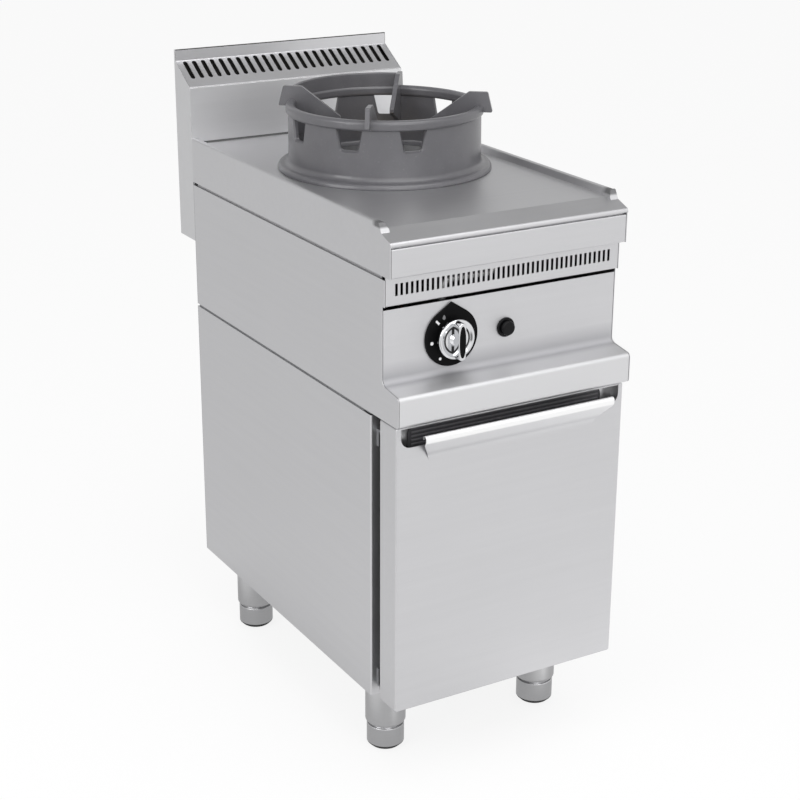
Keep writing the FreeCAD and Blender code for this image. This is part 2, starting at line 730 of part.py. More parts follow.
def deck():
    """Tray between the burner unit and the cabinet; its edge is the lower shadow gap."""
    outer = box(-half + 3, half - 3, cabinet_setback + 4, y_rear, z_cab_top, z_unit)
    under = box(-half + 3 + sheet, half - 3 - sheet, cabinet_setback + 4 + sheet, y_rear - sheet,
                z_cab_top - 1, z_unit - sheet)
    return outer.cut(under)


def vent_strip():
    """Slotted strip that lets air in above the control panel."""
    run = [(strip_setback + 13, z_skirt), (strip_setback, z_skirt), (strip_setback, z_strip),
           (panel_setback, z_strip)]
    plate = folded(run, sheet, "YZ", -front_inner, front_inner)
    middle = (z_skirt + z_strip) / 2 + 1.2
    slots = []
    for i in range(vent_count):
        x = (i - (vent_count - 1) / 2) * vent_pitch
        slots.append(box(x - vent_width / 2, x + vent_width / 2, strip_setback - 1,
                         strip_setback + sheet + 1, middle - vent_length / 2, middle + vent_length / 2))
    return plate.cut(slots)


def control_panel():
    """Control panel that runs out into the drip ledge, one folded sheet."""
    run = [(panel_setback, z_panel_top), (panel_setback, z_ledge + ledge_rise), (-ledge_reach, z_ledge),
           (-ledge_reach, z_unit), (y_return, z_unit)]
    plate = folded(run, sheet, "YZ", -front_inner, front_inner,
                   [ledge_hollow, ledge_radius, ledge_radius - sheet])
    hole = rod(neck_r + neck_hole_gap, (knob_x, 0, z_knob), (knob_x, 40, z_knob))
    button = rod(igniter_r + 0.3, (button_x, 0, z_button), (button_x, 40, z_button))
    return plate.cut([hole, button])


def flue_box():
    """Flue box behind the unit: closed below, open on top, with its side and back sheets raised."""
    top_y = y_flue_back - upstand_depth
    front_top = z_grille - grille_fall
    outline = [(body_depth, z_flue), (y_flue_back, z_flue), (y_flue_back, z_flue_top),
               (top_y, z_flue_top), (top_y, z_grille), (body_depth + sheet, front_top),
               (body_depth, front_top - sheet)]
    outer = prism(outline, "YZ", -half, half)
    room = [(body_depth + sheet, z_flue + sheet), (y_flue_back - sheet, z_flue + sheet),
            (y_flue_back - sheet, z_flue_top - sheet), (top_y, z_flue_top - sheet),
            (top_y, z_flue_top + 5), (body_depth + sheet, z_flue_top + 5)]
    hollow = prism(room, "YZ", -half + sheet, half - sheet)
    top = z_pan - throat_below_pan
    throat = box(-throat_width / 2, throat_width / 2, body_depth - 1, body_depth + sheet + 1,
                 top - throat_height, top)
    return outer.cut([hollow, throat])


def flue_grille():
    """Sloping slotted top of the flue."""
    back = y_flue_back - upstand_depth
    front = body_depth + sheet
    high, low = z_grille, z_grille - grille_fall
    slope = math.atan2(high - low, back - front)
    run = [(back, z_flue_top - sheet), (back, high), (front, low), (front, low - 8)]
    plate = folded(run, sheet, "YZ", -inner, inner)
    slots = []
    reach = grille_slot_margin + grille_slot_length / 2
    for i in range(grille_slots):
        x = (i - (grille_slots - 1) / 2) * grille_pitch
        r, straight = grille_slot_width / 2, grille_slot_length / 2 - grille_slot_width / 2
        slot = box(x - r, x + r, -straight, straight, -6, 6)
        ends = [Part.makeCylinder(r, 12, V(x, s, -6)) for s in (-straight, straight)]
        slot = joined(slot, *ends)
        slot.rotate(V(0, 0, 0), V(1, 0, 0), math.degrees(slope))
        slot.translate(V(0, back - math.cos(slope) * reach, high - math.sin(slope) * reach))
        slots.append(slot)
    return plate.cut(slots)


# ----------------------------------------------------------------------------------------------
# Cabinet
# ----------------------------------------------------------------------------------------------
def cabinet_side():
    """Left side of the cabinet, folded round into the front post."""
    edge = -half + post_width
    run = [(-half, y_rear), (-half, cabinet_setback), (edge, cabinet_setback),
           (edge, cabinet_setback + post_return)]
    wall = folded(run, sheet, "XY", z_cab, z_cab_top)
    start, turned_in = cabinet_setback + floor_setback, -half + side_flange
    flange = box(-half + sheet, turned_in, start, y_rear, z_cab_top - sheet, z_cab_top)
    lower = box(-half + sheet, turned_in, start, y_rear, z_cab, z_cab + sheet)
    return joined(wall, flange, lower)


def cabinet_back():
    """Back of the cabinet."""
    return box(-half, half, y_rear, body_depth, z_cab, z_cab_top)


def cabinet_floor():
    """Floor tray of the cabinet with turned-up edges."""
    front = cabinet_setback + floor_setback
    top = z_cab + sheet + floor_edge
    outer = box(-inner, inner, front, y_rear, z_cab + sheet, top)
    room = box(-inner + sheet, inner - sheet, front + sheet, y_rear - sheet, z_cab + 2 * sheet, top + 1)
    return outer.cut(room)


def cross_rail(low, high):
    """Channel between the two front posts."""
    back = cabinet_setback + rail_depth
    run = [(back, low), (cabinet_setback, low), (cabinet_setback, high), (back, high)]
    return folded(run, -sheet, "YZ", -half + post_width, half - post_width)


def upper_rail():
    """Rail above the door opening."""
    return cross_rail(z_cab_top - upper_rail_height, z_cab_top)


def lower_rail():
    """Rail below the door opening."""
    return cross_rail(z_cab, z_cab + lower_rail_height)


def leg_sleeve(x, y):
    """Leg: stainless sleeve with a rounded lower end, a threaded plug and a plate on top."""
    low = foot_height + foot_neck
    core = stem_r + stem_gap
    bore = leg_r - leg_wall
    profile = [(core, low), (leg_r, low), (leg_r, z_cab), (bore, z_cab), (bore, low + plug_height),
               (core, low + plug_height)]
    sleeve = turned(profile, x, y, [0, leg_skirt, 0, 0, 0, 0])
    plate = prism([(x - leg_plate, y - leg_plate), (x + leg_plate, y - leg_plate),
                   (x + leg_plate, y + leg_plate), (x - leg_plate, y + leg_plate)],
                  "XY", z_cab, z_cab + sheet, 6)
    return joined(sleeve, plate)


def legs():
    """The four leg sleeves."""
    spots = [(s * leg_x, y) for y in (leg_front, y_back_leg) for s in (-1, 1)]
    return Part.makeCompound([leg_sleeve(x, y) for x, y in spots])


def foot(x, y):
    """Adjustable foot on its threaded stem."""
    top = foot_height + foot_neck
    profile = [(0, 0), (foot_r - foot_chamfer, 0), (foot_r, foot_chamfer), (foot_r, foot_height),
               (foot_neck_r, foot_height), (foot_neck_r, top), (stem_r, top), (stem_r, top + stem_length),
               (0, top + stem_length)]
    return turned(profile, x, y, [0, 3, 3, 1.5, 0, 0, 0, 1, 0])


# ----------------------------------------------------------------------------------------------
# Door
# ----------------------------------------------------------------------------------------------
def pocket_outline():
    """Finger pocket's opening, seen from the front."""
    wide = pocket_width / 2
    low = z_door_top - pocket_height
    high = z_door_top - sheet
    return [(wide, high), (-wide, high), (-wide, low), (wide, low)]


def door_skin():
    """Outer skin of the door: folded returns, the pocket's opening and the flared pull lip."""
    wide = door_width / 2
    outline = [(-wide, z_door), (wide, z_door), (wide, z_door_top), (-wide, z_door_top)]
    outer = prism(outline, "XZ", y_door, y_door_back, 3.0)
    outer = outer.makeFillet(1.6, [e for e in outer.Edges if e.BoundBox.YMax < y_door + 0.01])
    room = box(-wide + sheet, wide - sheet, y_door + sheet, y_door_back + 1, z_door + sheet,
               z_door_top - sheet)
    pocket = prism(pocket_outline(), "XZ", y_door - 1, y_door + sheet, [0, 0, pocket_radius, pocket_radius])
    behind = box(-lip_width_bottom / 2, lip_width_bottom / 2, y_door - 1, y_door + sheet,
                 z_lip_root + 12, z_door_top - pocket_height + 1)
    return joined(outer.cut([room, pocket, behind]), door_lip())


def door_pocket():
    """Steel tray behind the finger pocket's opening."""
    wide = pocket_width / 2 + 3
    high = z_door_top - sheet
    low = z_door_top - pocket_height - pocket_sink
    front = y_door + sheet
    back = front + pocket_depth
    outer = prism([(wide, high), (-wide, high), (-wide, low), (wide, low)], "XZ", front, back,
                  [0, 0, pocket_radius, pocket_radius])
    w = pocket_wall
    room = prism([(wide - w, high - w), (-wide + w, high - w), (-wide + w, low + w), (wide - w, low + w)],
                 "XZ", front - 1, back - w, [0, 0, pocket_radius - w, pocket_radius - w])
    return outer.cut(room)


def door_grip():
    """Dark moulded insert on the back wall of the finger pocket."""
    back = y_door + sheet + pocket_depth - pocket_wall
    wide = grip_width / 2
    low = z_door_top - pocket_height - pocket_sink + pocket_wall
    high = z_door_top - sheet - pocket_wall
    return prism([(wide, high), (-wide, high), (-wide, low), (wide, low)], "XZ", back - grip_thickness, back,
                 [grip_radius, grip_radius, 0, 0])


def door_lip():
    """Pull lip: the door's front sheet flared forward below the pocket, with a rolled edge."""
    top = z_door_top - lip_drop
    run = [(y_door, z_lip_root), (y_door, z_lip_root + 10), (y_lip, top - lip_bead), (y_lip, top),
           (y_lip + 9, top), (y_lip + 9, top - 6)]
    blade = folded(run, -sheet, "YZ", -lip_width_top / 2, lip_width_top / 2,
                   [lip_flare, lip_flare / 3, lip_roll, lip_roll])
    a, b = lip_width_bottom / 2, lip_width_top / 2
    side = z_lip_root + 16
    shape = [(a, z_lip_root - 1), (a + 7, side), (b, top - 14), (b, top + 5), (-b, top + 5),
             (-b, top - 14), (-a - 7, side), (-a, z_lip_root - 1)]
    mask = prism(shape, "XZ", y_lip - 5, y_door + 5, [0, 25, 6, 0, 0, 6, 25, 0])
    return blade.common(mask)


def door_liner():
    """Inner skin that closes the back of the door."""
    wide = door_width / 2 - sheet - slip
    outline = [(-wide, z_door + sheet + slip), (wide, z_door + sheet + slip),
               (wide, z_door_top - sheet - slip), (-wide, z_door_top - sheet - slip)]
    outer = prism(outline, "XZ", y_door_back - 12, y_door_back)
    room = box(-wide + sheet, wide - sheet, y_door_back - 13, y_door_back - sheet,
               z_door + 2 * sheet + slip, z_door_top - 2 * sheet - slip)
    return outer.cut(room)


def hinge_levels():
    """Heights of the meeting faces of the lower and the upper hinge."""
    return z_door + hinge_low, z_door_top - hinge_high


def hinge_axis():
    """Plan position of the hinge pins."""
    return -half + hinge_inset, cabinet_setback - hinge_standoff


def hinge_fixed(level, plate_low, plate_high):
    """Cabinet half of a hinge: a leaf with its pin, on a plate screwed to the post."""
    x, y = hinge_axis()
    low = level - hinge_leaf
    left, face = x - hinge_plate_side, cabinet_setback - hinge_leaf
    right = left + hinge_plate_width
    leaf = joined(box(left, right, y, face, low, level), rod(hinge_leaf_r, (x, y, low), (x, y, level)))
    plate = box(left, right, face, cabinet_setback, plate_low, plate_high)
    pin = rod(hinge_pin_r, (x, y, low), (x, y, level + hinge_leaf + 4))
    return joined(leaf, plate, pin)


def lower_hinge_fixed():
    """Lower hinge, cabinet half."""
    level = hinge_levels()[0]
    return hinge_fixed(level, level - hinge_leaf, level + hinge_plate)


def upper_hinge_fixed():
    """Upper hinge, cabinet half."""
    level = hinge_levels()[1]
    return hinge_fixed(level, level - hinge_plate, level)


def hinge_moving(level):
    """Door half of a hinge: a leaf with a bored eye, on the door's back."""
    x, y = hinge_axis()
    top = level + hinge_leaf
    left, right = x - hinge_leaf_r, x + hinge_arm
    leaf = joined(box(left, right, y_door_back, y, level, top),
                  rod(hinge_leaf_r, (x, y, level), (x, y, top)))
    plate = box(left, right, y_door_back, y_door_back + 2, level, level + hinge_arm_height)
    return joined(leaf, plate).cut(rod(hinge_pin_r + hinge_gap, (x, y, level - 1), (x, y, top + 30)))


def door_hinges():
    """Both door halves of the hinges."""
    return Part.makeCompound([hinge_moving(level) for level in hinge_levels()])


def catch():
    """Magnetic catch under the upper rail."""
    right = half - catch_side
    top = z_cab_top - catch_drop
    return box(right - catch_width, right, cabinet_setback - catch_depth, cabinet_setback,
               top - catch_height, top)


def strike():
    """Steel strike on the door's back for the catch."""
    right = half - catch_side - strike_margin
    left = half - catch_side - catch_width + strike_margin
    top = z_cab_top - catch_drop
    return box(left, right, y_door_back, cabinet_setback - catch_depth - strike_gap,
               top - catch_height + 1, top - 1)


# ----------------------------------------------------------------------------------------------
# Controls and gas line
# ----------------------------------------------------------------------------------------------
def dial_bezel():
    """Drop-shaped dial behind the knob."""
    front = panel_setback - bezel_thickness
    disc = rod(bezel_r, (knob_x, front, z_knob), (knob_x, panel_setback, z_knob))
    lean = math.acos(bezel_r / bezel_tip)
    side = bezel_r * math.sin(lean), bezel_r * math.cos(lean)
    tip = [(knob_x - side[0], z_knob + side[1]), (knob_x + side[0], z_knob + side[1]),
           (knob_x, z_knob + bezel_tip)]
    point = prism(tip, "XZ", front, panel_setback, [0, 0, 2.5])
    hole = rod(neck_r + neck_hole_gap, (knob_x, front - 1, z_knob), (knob_x, panel_setback + 1, z_knob))
    return joined(disc, point).cut(hole)


def gas_valve():
    """Gas valve with its neck through the panel and its flame-safety magnet beside it."""
    front = panel_setback + sheet
    body = box(knob_x - valve_width / 2, knob_x + valve_width / 2, y_valve, y_valve_back,
               z_knob - valve_height / 2, z_knob + valve_height / 2)
    flange = box(knob_x - 26, knob_x + 26, front, y_valve, z_knob - 16, z_knob + 16)
    neck = rod(neck_r, (knob_x, panel_setback - bezel_thickness + 0.5, z_knob), (knob_x, front, z_knob))
    magnet = rod(magnet_r, (x_magnet, y_valve, z_magnet), (x_magnet, y_valve_back, z_magnet))
    bore = rod(spindle_r + spindle_gap, (knob_x, 0, z_knob), (knob_x, front + spindle_depth + 1, z_knob))
    return joined(body, flange, neck, magnet).cut(bore)


def valve_spindle():
    """Spindle that the knob turns."""
    tip = panel_setback - bezel_thickness - spindle_proud
    return rod(spindle_r, (knob_x, tip, z_knob), (knob_x, panel_setback + sheet + spindle_depth, z_knob))


def knob():
    """Chromed knob: a flared round skirt with a dished face and an upright grip bar across it."""
    dial = panel_setback - bezel_thickness
    back = knob_press + knob_float
    edge = back + knob_flare
    face = edge + knob_rim
    profile = [(0, back), (knob_back_r, back), (knob_r, edge), (knob_r, face), (knob_r - knob_lip, face),
               (knob_r - 2 * knob_lip, face - knob_dish), (0, face - knob_dish)]
    skirt = turned(profile, 0, 0, [0, 2, 2.5, 2.5, 2, 4, 0])
    skirt.rotate(V(0, 0, 0), V(1, 0, 0), 90)
    rings = []
    for y, slim in ((-edge, 0.0), (-knob_bar_front, knob_bar_draft)):
        w, h = knob_bar_width / 2 - slim, knob_bar_length / 2 - slim
        corners = [(0, -h), (w, -h), (w, h), (-w, h), (-w, -h), (0, -h)]
        outline = rounded_run(corners, [w - 0.2] * 4, "XZ", y)
        rings.append(Part.Wire(outline))
    bar = Part.makeLoft(rings, True, True)
    front = [e for e in bar.Edges if e.BoundBox.YMax < 0.1 - knob_bar_front]
    bar = bar.makeFillet(1.6, front)
    hub = Part.makeCone(knob_hub_r, knob_hub_top_r, knob_hub_height, V(0, -edge, 0), V(0, -1, 0))
    whole = joined(skirt, bar, hub)
    deep = spindle_proud + knob_press + 1
    whole = whole.cut(rod(spindle_r + spindle_gap, (0, -deep, 0), (0, 0, 0)))
    whole.translate(V(knob_x, dial, z_knob))
    return whole


def igniter():
    """Piezo igniter: bezel in front of the panel and barrel behind it."""
    front = panel_setback - button_bezel
    bezel = rod(button_bezel_r, (button_x, front, z_button), (button_x, panel_setback, z_button))
    rim = [e for e in bezel.Edges if abs(e.BoundBox.YMin - front) < 0.01 and e.BoundBox.YLength < 0.01]
    bezel = bezel.makeFillet(1.5, rim)
    barrel = rod(igniter_r, (button_x, panel_setback, z_button),
                 (button_x, panel_setback + sheet + igniter_length, z_button))
    nut = rod(12, (button_x, panel_setback + sheet, z_button), (button_x, panel_setback + sheet + 5, z_button))
    well = rod(button_r + button_gap, (button_x, front - 1, z_button), (button_x, panel_setback - 0.4, z_button))
    bore = rod(button_stem_r + button_stem_gap, (button_x, front, z_button),
               (button_x, panel_setback + 26, z_button))
    return joined(bezel, barrel, nut).cut([well, bore])


def igniter_button():
    """Igniter button with its plunger."""
    front = panel_setback - button_bezel - button_proud
    back = panel_setback - 0.4 - button_press - 0.4
    cap = rod(button_r, (button_x, front, z_button), (button_x, back, z_button))
    rim = [e for e in cap.Edges if abs(e.BoundBox.YMin - front) < 0.01 and e.BoundBox.YLength < 0.01]
    cap = cap.makeFillet(1.8, rim)
    stem = rod(button_stem_r, (button_x, back - 1, z_button), (button_x, panel_setback + 20, z_button))
    return joined(cap, stem)


def gas_inlet():
    """Gas pipe from its union at the back, along the left side, to the valve."""
    y = y_valve + valve_depth / 2
    line = pipe([(inlet_x, body_depth + inlet_length, z_inlet), (inlet_x, y, z_inlet),
                 (knob_x, y, z_inlet), (knob_x, y, z_knob - valve_height / 2)], line_r, 16)
    union = rod(inlet_r, (inlet_x, body_depth + 6, z_inlet), (inlet_x, body_depth + inlet_length, z_inlet))
    collar = rod(15, (inlet_x, body_depth, z_inlet), (inlet_x, body_depth + 6, z_inlet))
    return joined(line, union, collar)


def supply_tube():
    """Gas tube from the valve to the injector."""
    y = y_valve + valve_depth / 2
    top = z_knob + valve_height / 2
    level = z_tube - supply_dip
    return pipe([(knob_x, y, top), (knob_x, y, level), (0, y, level), (0, y, z_tube),
                 (0, y_injector, z_tube)], supply_r, 12)


def injector():
    """Brass injector in front of the mixing tube."""
    back = tube_front - injector_gap
    body = rod(injector_r, (0, y_injector, z_tube), (0, back - 6, z_tube))
    tip = Part.makeCone(injector_r - 1, 3, 6, V(0, back - 6, z_tube), V(0, 1, 0))
    return joined(body, tip)


def injector_bracket():
    """Yoke clamped round the mixing tube that holds the injector in front of its mouth."""
    reach = tube_bell_r + 1
    clamp_y = tube_front + 28
    plate = box(-reach - 2, reach + 2, y_injector + 4, y_injector + 6, z_tube - 9, z_tube + 9)
    arm = box(reach, reach + 2, y_injector + 4, clamp_y + 10, z_tube - 7, z_tube + 7)
    clamp = rod(tube_r + 3, (0, clamp_y, z_tube), (0, clamp_y + 10, z_tube))
    ears = box(-reach - 1, reach + 1, clamp_y, clamp_y + 10, z_tube - 7, z_tube + 7)
    whole = joined(plate, arm, mirrored(arm), clamp, ears)
    tube = rod(tube_r, (0, clamp_y - 1, z_tube), (0, clamp_y + 11, z_tube))
    seat = rod(injector_r, (0, y_injector, z_tube), (0, y_injector + 10, z_tube))
    return whole.cut([tube, seat])


# ----------------------------------------------------------------------------------------------
# Export
# ----------------------------------------------------------------------------------------------
def pieces():
    """Every piece by name."""
    made = {
        "worktop": worktop(), "worktop_apron": apron(),
        "wok_ring": wok_ring(), "spill_bowl": spill_bowl(), "burner_body": burner_body(),
        "burner_head": burner_head(), "burner_cap": burner_cap(), "burner_bracket": burner_bracket(),
        "pilot_bracket": pilot_bracket(), "pilot_burner": pilot_burner(),
        "spark_electrode": spark_electrode(), "thermocouple": thermocouple(),
        "pilot_tube": pilot_tube(), "spark_lead": spark_lead(),
        "unit_side_left": unit_side(), "unit_side_right": mirrored(unit_side()),
        "unit_back": unit_back(), "deck": deck(), "vent_strip": vent_strip(),
        "control_panel": control_panel(), "flue_box": flue_box(), "flue_grille": flue_grille(),
        "cabinet_side_left": cabinet_side(),
        "cabinet_side_right": mirrored(cabinet_side()), "cabinet_back": cabinet_back(),
        "cabinet_floor": cabinet_floor(), "cabinet_rail_upper": upper_rail(),
        "cabinet_rail_lower": lower_rail(), "legs": legs(), "door_skin": door_skin(),
        "door_pocket": door_pocket(), "door_grip": door_grip(), "door_liner": door_liner(),
        "door_hinges": door_hinges(), "door_strike": strike(), "hinge_lower": lower_hinge_fixed(),
        "hinge_upper": upper_hinge_fixed(), "magnet_catch": catch(), "dial_bezel": dial_bezel(),
        "gas_valve": gas_valve(), "valve_spindle": valve_spindle(), "knob": knob(),
        "igniter_body": igniter(), "igniter_button": igniter_button(), "gas_inlet": gas_inlet(),
        "supply_tube": supply_tube(), "injector": injector(), "injector_bracket": injector_bracket(),
    }
    for name, x, y in (("front_left", -leg_x, leg_front), ("front_right", leg_x, leg_front),
                       ("back_left", -leg_x, y_back_leg), ("back_right", leg_x, y_back_leg)):
        made["foot_" + name] = foot(x, y)
    return made


def main():
    """Build every piece, move it to the floor-centred frame and write it."""
    os.makedirs("parts", exist_ok=True)
    for name, shape in pieces().items():
        shape.translate(V(0, -y_middle, 0))
        if not shape.isValid() or shape.Volume <= 0:
            print("invalid:", name)
        shape.exportStep("parts/" + name + ".step")


main()
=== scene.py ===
# %% [markdown]
# # A gas wok range, dressed in Blender
#
# A wok range is one burner in a narrow steel cabinet, made for a kitchen line. The shapes come from a
# CAD model, already packed in metres. This lesson gives each sheet, casting and knob its finish, adds
# the small things that CAD leaves out, and lights it all like a photograph for a catalogue.

# %% [markdown]
# ## Load the frame
# The imported model is a fixed frame: nothing in it is moved or reshaped here. Its pieces could also be
# imported by hand, but then their names and bodies would be lost. So this cell imports the whole file,
# keeps its meshes under their own names, and reads the record beside it.

# %% Load the imported model
import json
import math

import bmesh
import bpy
from mathutils import Matrix, Vector


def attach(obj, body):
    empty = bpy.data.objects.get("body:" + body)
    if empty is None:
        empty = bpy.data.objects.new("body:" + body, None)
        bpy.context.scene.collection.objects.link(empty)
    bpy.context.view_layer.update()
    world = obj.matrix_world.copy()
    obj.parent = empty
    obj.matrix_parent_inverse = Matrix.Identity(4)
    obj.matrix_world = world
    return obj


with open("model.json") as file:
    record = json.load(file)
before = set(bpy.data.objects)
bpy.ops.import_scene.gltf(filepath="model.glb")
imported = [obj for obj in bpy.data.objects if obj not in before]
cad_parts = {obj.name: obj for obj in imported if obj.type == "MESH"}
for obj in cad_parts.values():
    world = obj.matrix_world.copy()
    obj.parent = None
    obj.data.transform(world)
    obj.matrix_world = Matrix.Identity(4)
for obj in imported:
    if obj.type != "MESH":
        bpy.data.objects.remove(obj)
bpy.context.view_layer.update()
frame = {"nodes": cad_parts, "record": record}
nodes = frame["nodes"]
bpy.context.scene.view_settings.view_transform = "Standard"

# %% [markdown]
# ## The camera
# The picture was taken from the front left, a little above the worktop, with a long lens. A camera can
# be turned by three angles, but angles are hard to read. We place it by three directions instead,
# right, up and back, and turn it by its small roll.

# %% Place the camera
aim = Vector((-0.00864, -0.040, 0.4926))
camera_place = Vector((-1.3369, -2.3121, 1.4766))
camera_roll = math.radians(0.29)

back = (camera_place - aim).normalized()
level_right = Vector((0, 0, 1)).cross(back).normalized()
level_up = back.cross(level_right)
right = level_right * math.cos(camera_roll) + level_up * math.sin(camera_roll)
up = level_up * math.cos(camera_roll) - level_right * math.sin(camera_roll)

lens = bpy.data.cameras.new("catalogue_lens")
lens.lens = 78.45
lens.sensor_width = 36
camera = bpy.data.objects.new("catalogue_camera", lens)
bpy.context.scene.collection.objects.link(camera)
turn = Matrix((right, up, back)).transposed()
camera.matrix_world = Matrix.Translation(camera_place) @ turn.to_4x4()
bpy.context.scene.camera = camera
print("camera stands", round((camera_place - aim).length, 3), "m from the range")

# %% [markdown]
# ## Nodes as sums
# A finish is a small network of nodes. It could be wired node by node, as in the shader editor, but
# that hides what the network means. So a class wraps one socket, and lets us write sums and
# comparisons with it. Python calls these methods when it meets +, -, * and the like.


# %% A wire that can do sums
class Wire:
    """One output socket of a finish, which can be added, subtracted, multiplied and compared."""

    def __init__(self, finish, socket):
        self.finish = finish
        self.socket = socket

    def sum(self, operation, first, second):
        return self.finish.node("ShaderNodeMath", {"operation": operation}, {0: first, 1: second})

    def __add__(self, other):
        return self.sum("ADD", self, other)

    def __radd__(self, other):
        return self.sum("ADD", other, self)

    def __sub__(self, other):
        return self.sum("SUBTRACT", self, other)

    def __rsub__(self, other):
        return self.sum("SUBTRACT", other, self)

    def __mul__(self, other):
        return self.sum("MULTIPLY", self, other)

    def __rmul__(self, other):
        return self.sum("MULTIPLY", other, self)

    def __lt__(self, other):
        """1 where this wire is below the other, else 0."""
        return self.sum("LESS_THAN", self, other)

    def __gt__(self, other):
        """1 where this wire is above the other, else 0."""
        return self.sum("GREATER_THAN", self, other)

    def __abs__(self):
        return self.sum("ABSOLUTE", self, 0.0)


print("wires can do sums")

# %% [markdown]
# ## One class for every finish
# Steel, iron, plastic and enamel differ in numbers, not in kind: each has a colour, a roughness and a
# little relief. One class could be written for each of them. We write a single one round the
# Principled shader, with a method that adds any node: its settings come first, then its inputs.


# %% A finish and its nodes
class Finish:
    """A material under construction, around its one Principled shader."""

    def __init__(self, name, colour, roughness, metallic=0.0):
        self.material = bpy.data.materials.new(name)
        self.material.use_nodes = True
        self.tree = self.material.node_tree
        self.shader = self.tree.nodes["Principled BSDF"]
        self.set("Base Color", (*colour, 1))
        self.set("Roughness", roughness)
        self.set("Metallic", metallic)

    def feed(self, socket, value):
        if isinstance(value, Wire):
            self.tree.links.new(value.socket, socket)
        else:
            socket.default_value = value

    def set(self, name, value):
        self.feed(self.shader.inputs[name], value)

    def node(self, kind, settings=None, inputs=None, output=0):
        made = self.tree.nodes.new(kind)
        for key, value in (settings or {}).items():
            if key == "stops":
                ramp = made.color_ramp
                while len(ramp.elements) < len(value):
                    ramp.elements.new(0.5)
                for element, (place, level) in zip(ramp.elements, value):
                    element.position = place
                    element.color = (level, level, level, 1)
            else:
                setattr(made, key, value)
        for key, value in (inputs or {}).items():
            self.feed(made.inputs[key], value)
        return Wire(self, made.outputs[output])

    def place(self):
        """The point on the object in metres, which is the same in every view."""
        return self.node("ShaderNodeTexCoord", output="Object")

    def along(self, axis):
        """How far along X, Y or Z the point is, in metres."""
        return self.node("ShaderNodeSeparateXYZ", None, {0: self.place()}, output=axis)

    def stretched(self, scale):
        """The same point with each direction stretched by its own number."""
        return self.node("ShaderNodeVectorMath", {"operation": "MULTIPLY"}, {0: self.place(), 1: scale})

    def noise(self, scale, detail=2.0, roughness=0.5):
        """Cloudy grey between 0 and 1. Scale is how many clouds fit in a metre, along X, Y and Z."""
        wanted = {"Vector": self.stretched(scale), "Scale": 1.0, "Detail": detail, "Roughness": roughness}
        return self.node("ShaderNodeTexNoise", None, wanted)

    def ramp(self, wire, stops):
        return self.node("ShaderNodeValToRGB", {"stops": stops}, {0: wire})

    def mix(self, mask, first, second):
        """The first colour where the mask is 0, the second where it is 1."""
        colours = {0: mask, 6: (*first, 1) if isinstance(first, tuple) else first}
        colours[7] = (*second, 1) if isinstance(second, tuple) else second
        return self.node("ShaderNodeMix", {"data_type": "RGBA"}, colours, output=2)

    def step(self, wire, low, high):
        """0 below low, 1 above high, and a soft change between them. High may be the smaller one."""
        if low < high:
            return self.node("ShaderNodeMapRange", None, {0: wire, 1: low, 2: high, 3: 0.0, 4: 1.0})
        return 1.0 - self.step(wire, high, low)

    def bump(self, height, depth, strength=1.0):
        """Small relief: depth is its height in metres."""
        relief = {"Height": height, "Distance": depth, "Strength": strength}
        self.set("Normal", self.node("ShaderNodeBump", None, relief))


X, Y, Z = 0, 1, 2
print("finishes can be built")

# %% [markdown]
# ## Brushed stainless sheet
# Almost every panel is stainless sheet with a satin grain. The grain is made by a belt that runs one
# way, so its scratches are hair-thin and long. A picture of such a sheet could be laid on, but it would
# repeat and blur. We take noise that is stretched along the belt, which stays sharp at any distance. A
# second, broader noise gives the soft bands that such a belt leaves, and a third one the cloudy marks
# of cleaning. All three stay faint, because a new sheet looks nearly plain.


# %% The satin sheet, with its grain along a chosen way
def satin_grain(finish, along, colour, roughness):
    """Hairs, bands and clouds: gives the colour and the roughness they make, and sets the relief."""
    scratch = [1500.0, 1500.0, 1500.0]
    scratch[along] = 14.0
    band = [120.0, 120.0, 120.0]
    band[along] = 3.0
    hairs = finish.noise(tuple(scratch), detail=2.0, roughness=0.6)
    bands = finish.noise(tuple(band), detail=1.0)
    clouds = finish.noise((7.0, 7.0, 7.0), detail=3.0, roughness=0.55)
    darker = tuple(0.93 * part for part in colour)
    lighter = tuple(min(1.0, 1.06 * part) for part in colour)
    finish.bump(hairs, 0.00002, 0.3)
    shade = finish.mix(hairs * 0.45 + bands * 0.3 + clouds * 0.25, darker, lighter)
    return shade, roughness - 0.06 + hairs * 0.05 + clouds * 0.08


steel_colour = (0.605, 0.604, 0.617)


def satin_sheet(name, along):
    finish = Finish(name, steel_colour, 0.42, metallic=1.0)
    shade, rough = satin_grain(finish, along, steel_colour, 0.42)
    finish.set("Base Color", shade)
    finish.set("Roughness", rough)
    return finish.material


sheet_across = satin_sheet("satin sheet, grain across", X)
sheet_deep = satin_sheet("satin sheet, grain front to back", Y)
print("satin sheet made, grain across and front to back")

# %% [markdown]
# ## The control panel
# The panel and its drip ledge are one folded sheet. Along the hollow of that fold a darker, rougher strip
# stands for painted shade, and the ledge is made paler as painted light. The strip could be drawn on the
# mesh, but two soft steps by height and depth find it instead: it starts a little above the fold, and
# ends where the ledge becomes flat.

# %% The control panel, with painted shade in its hollow and painted light on its ledge
hollow_top, hollow_low = 0.672, 0.645
ledge_front, ledge_back = -0.336, -0.322


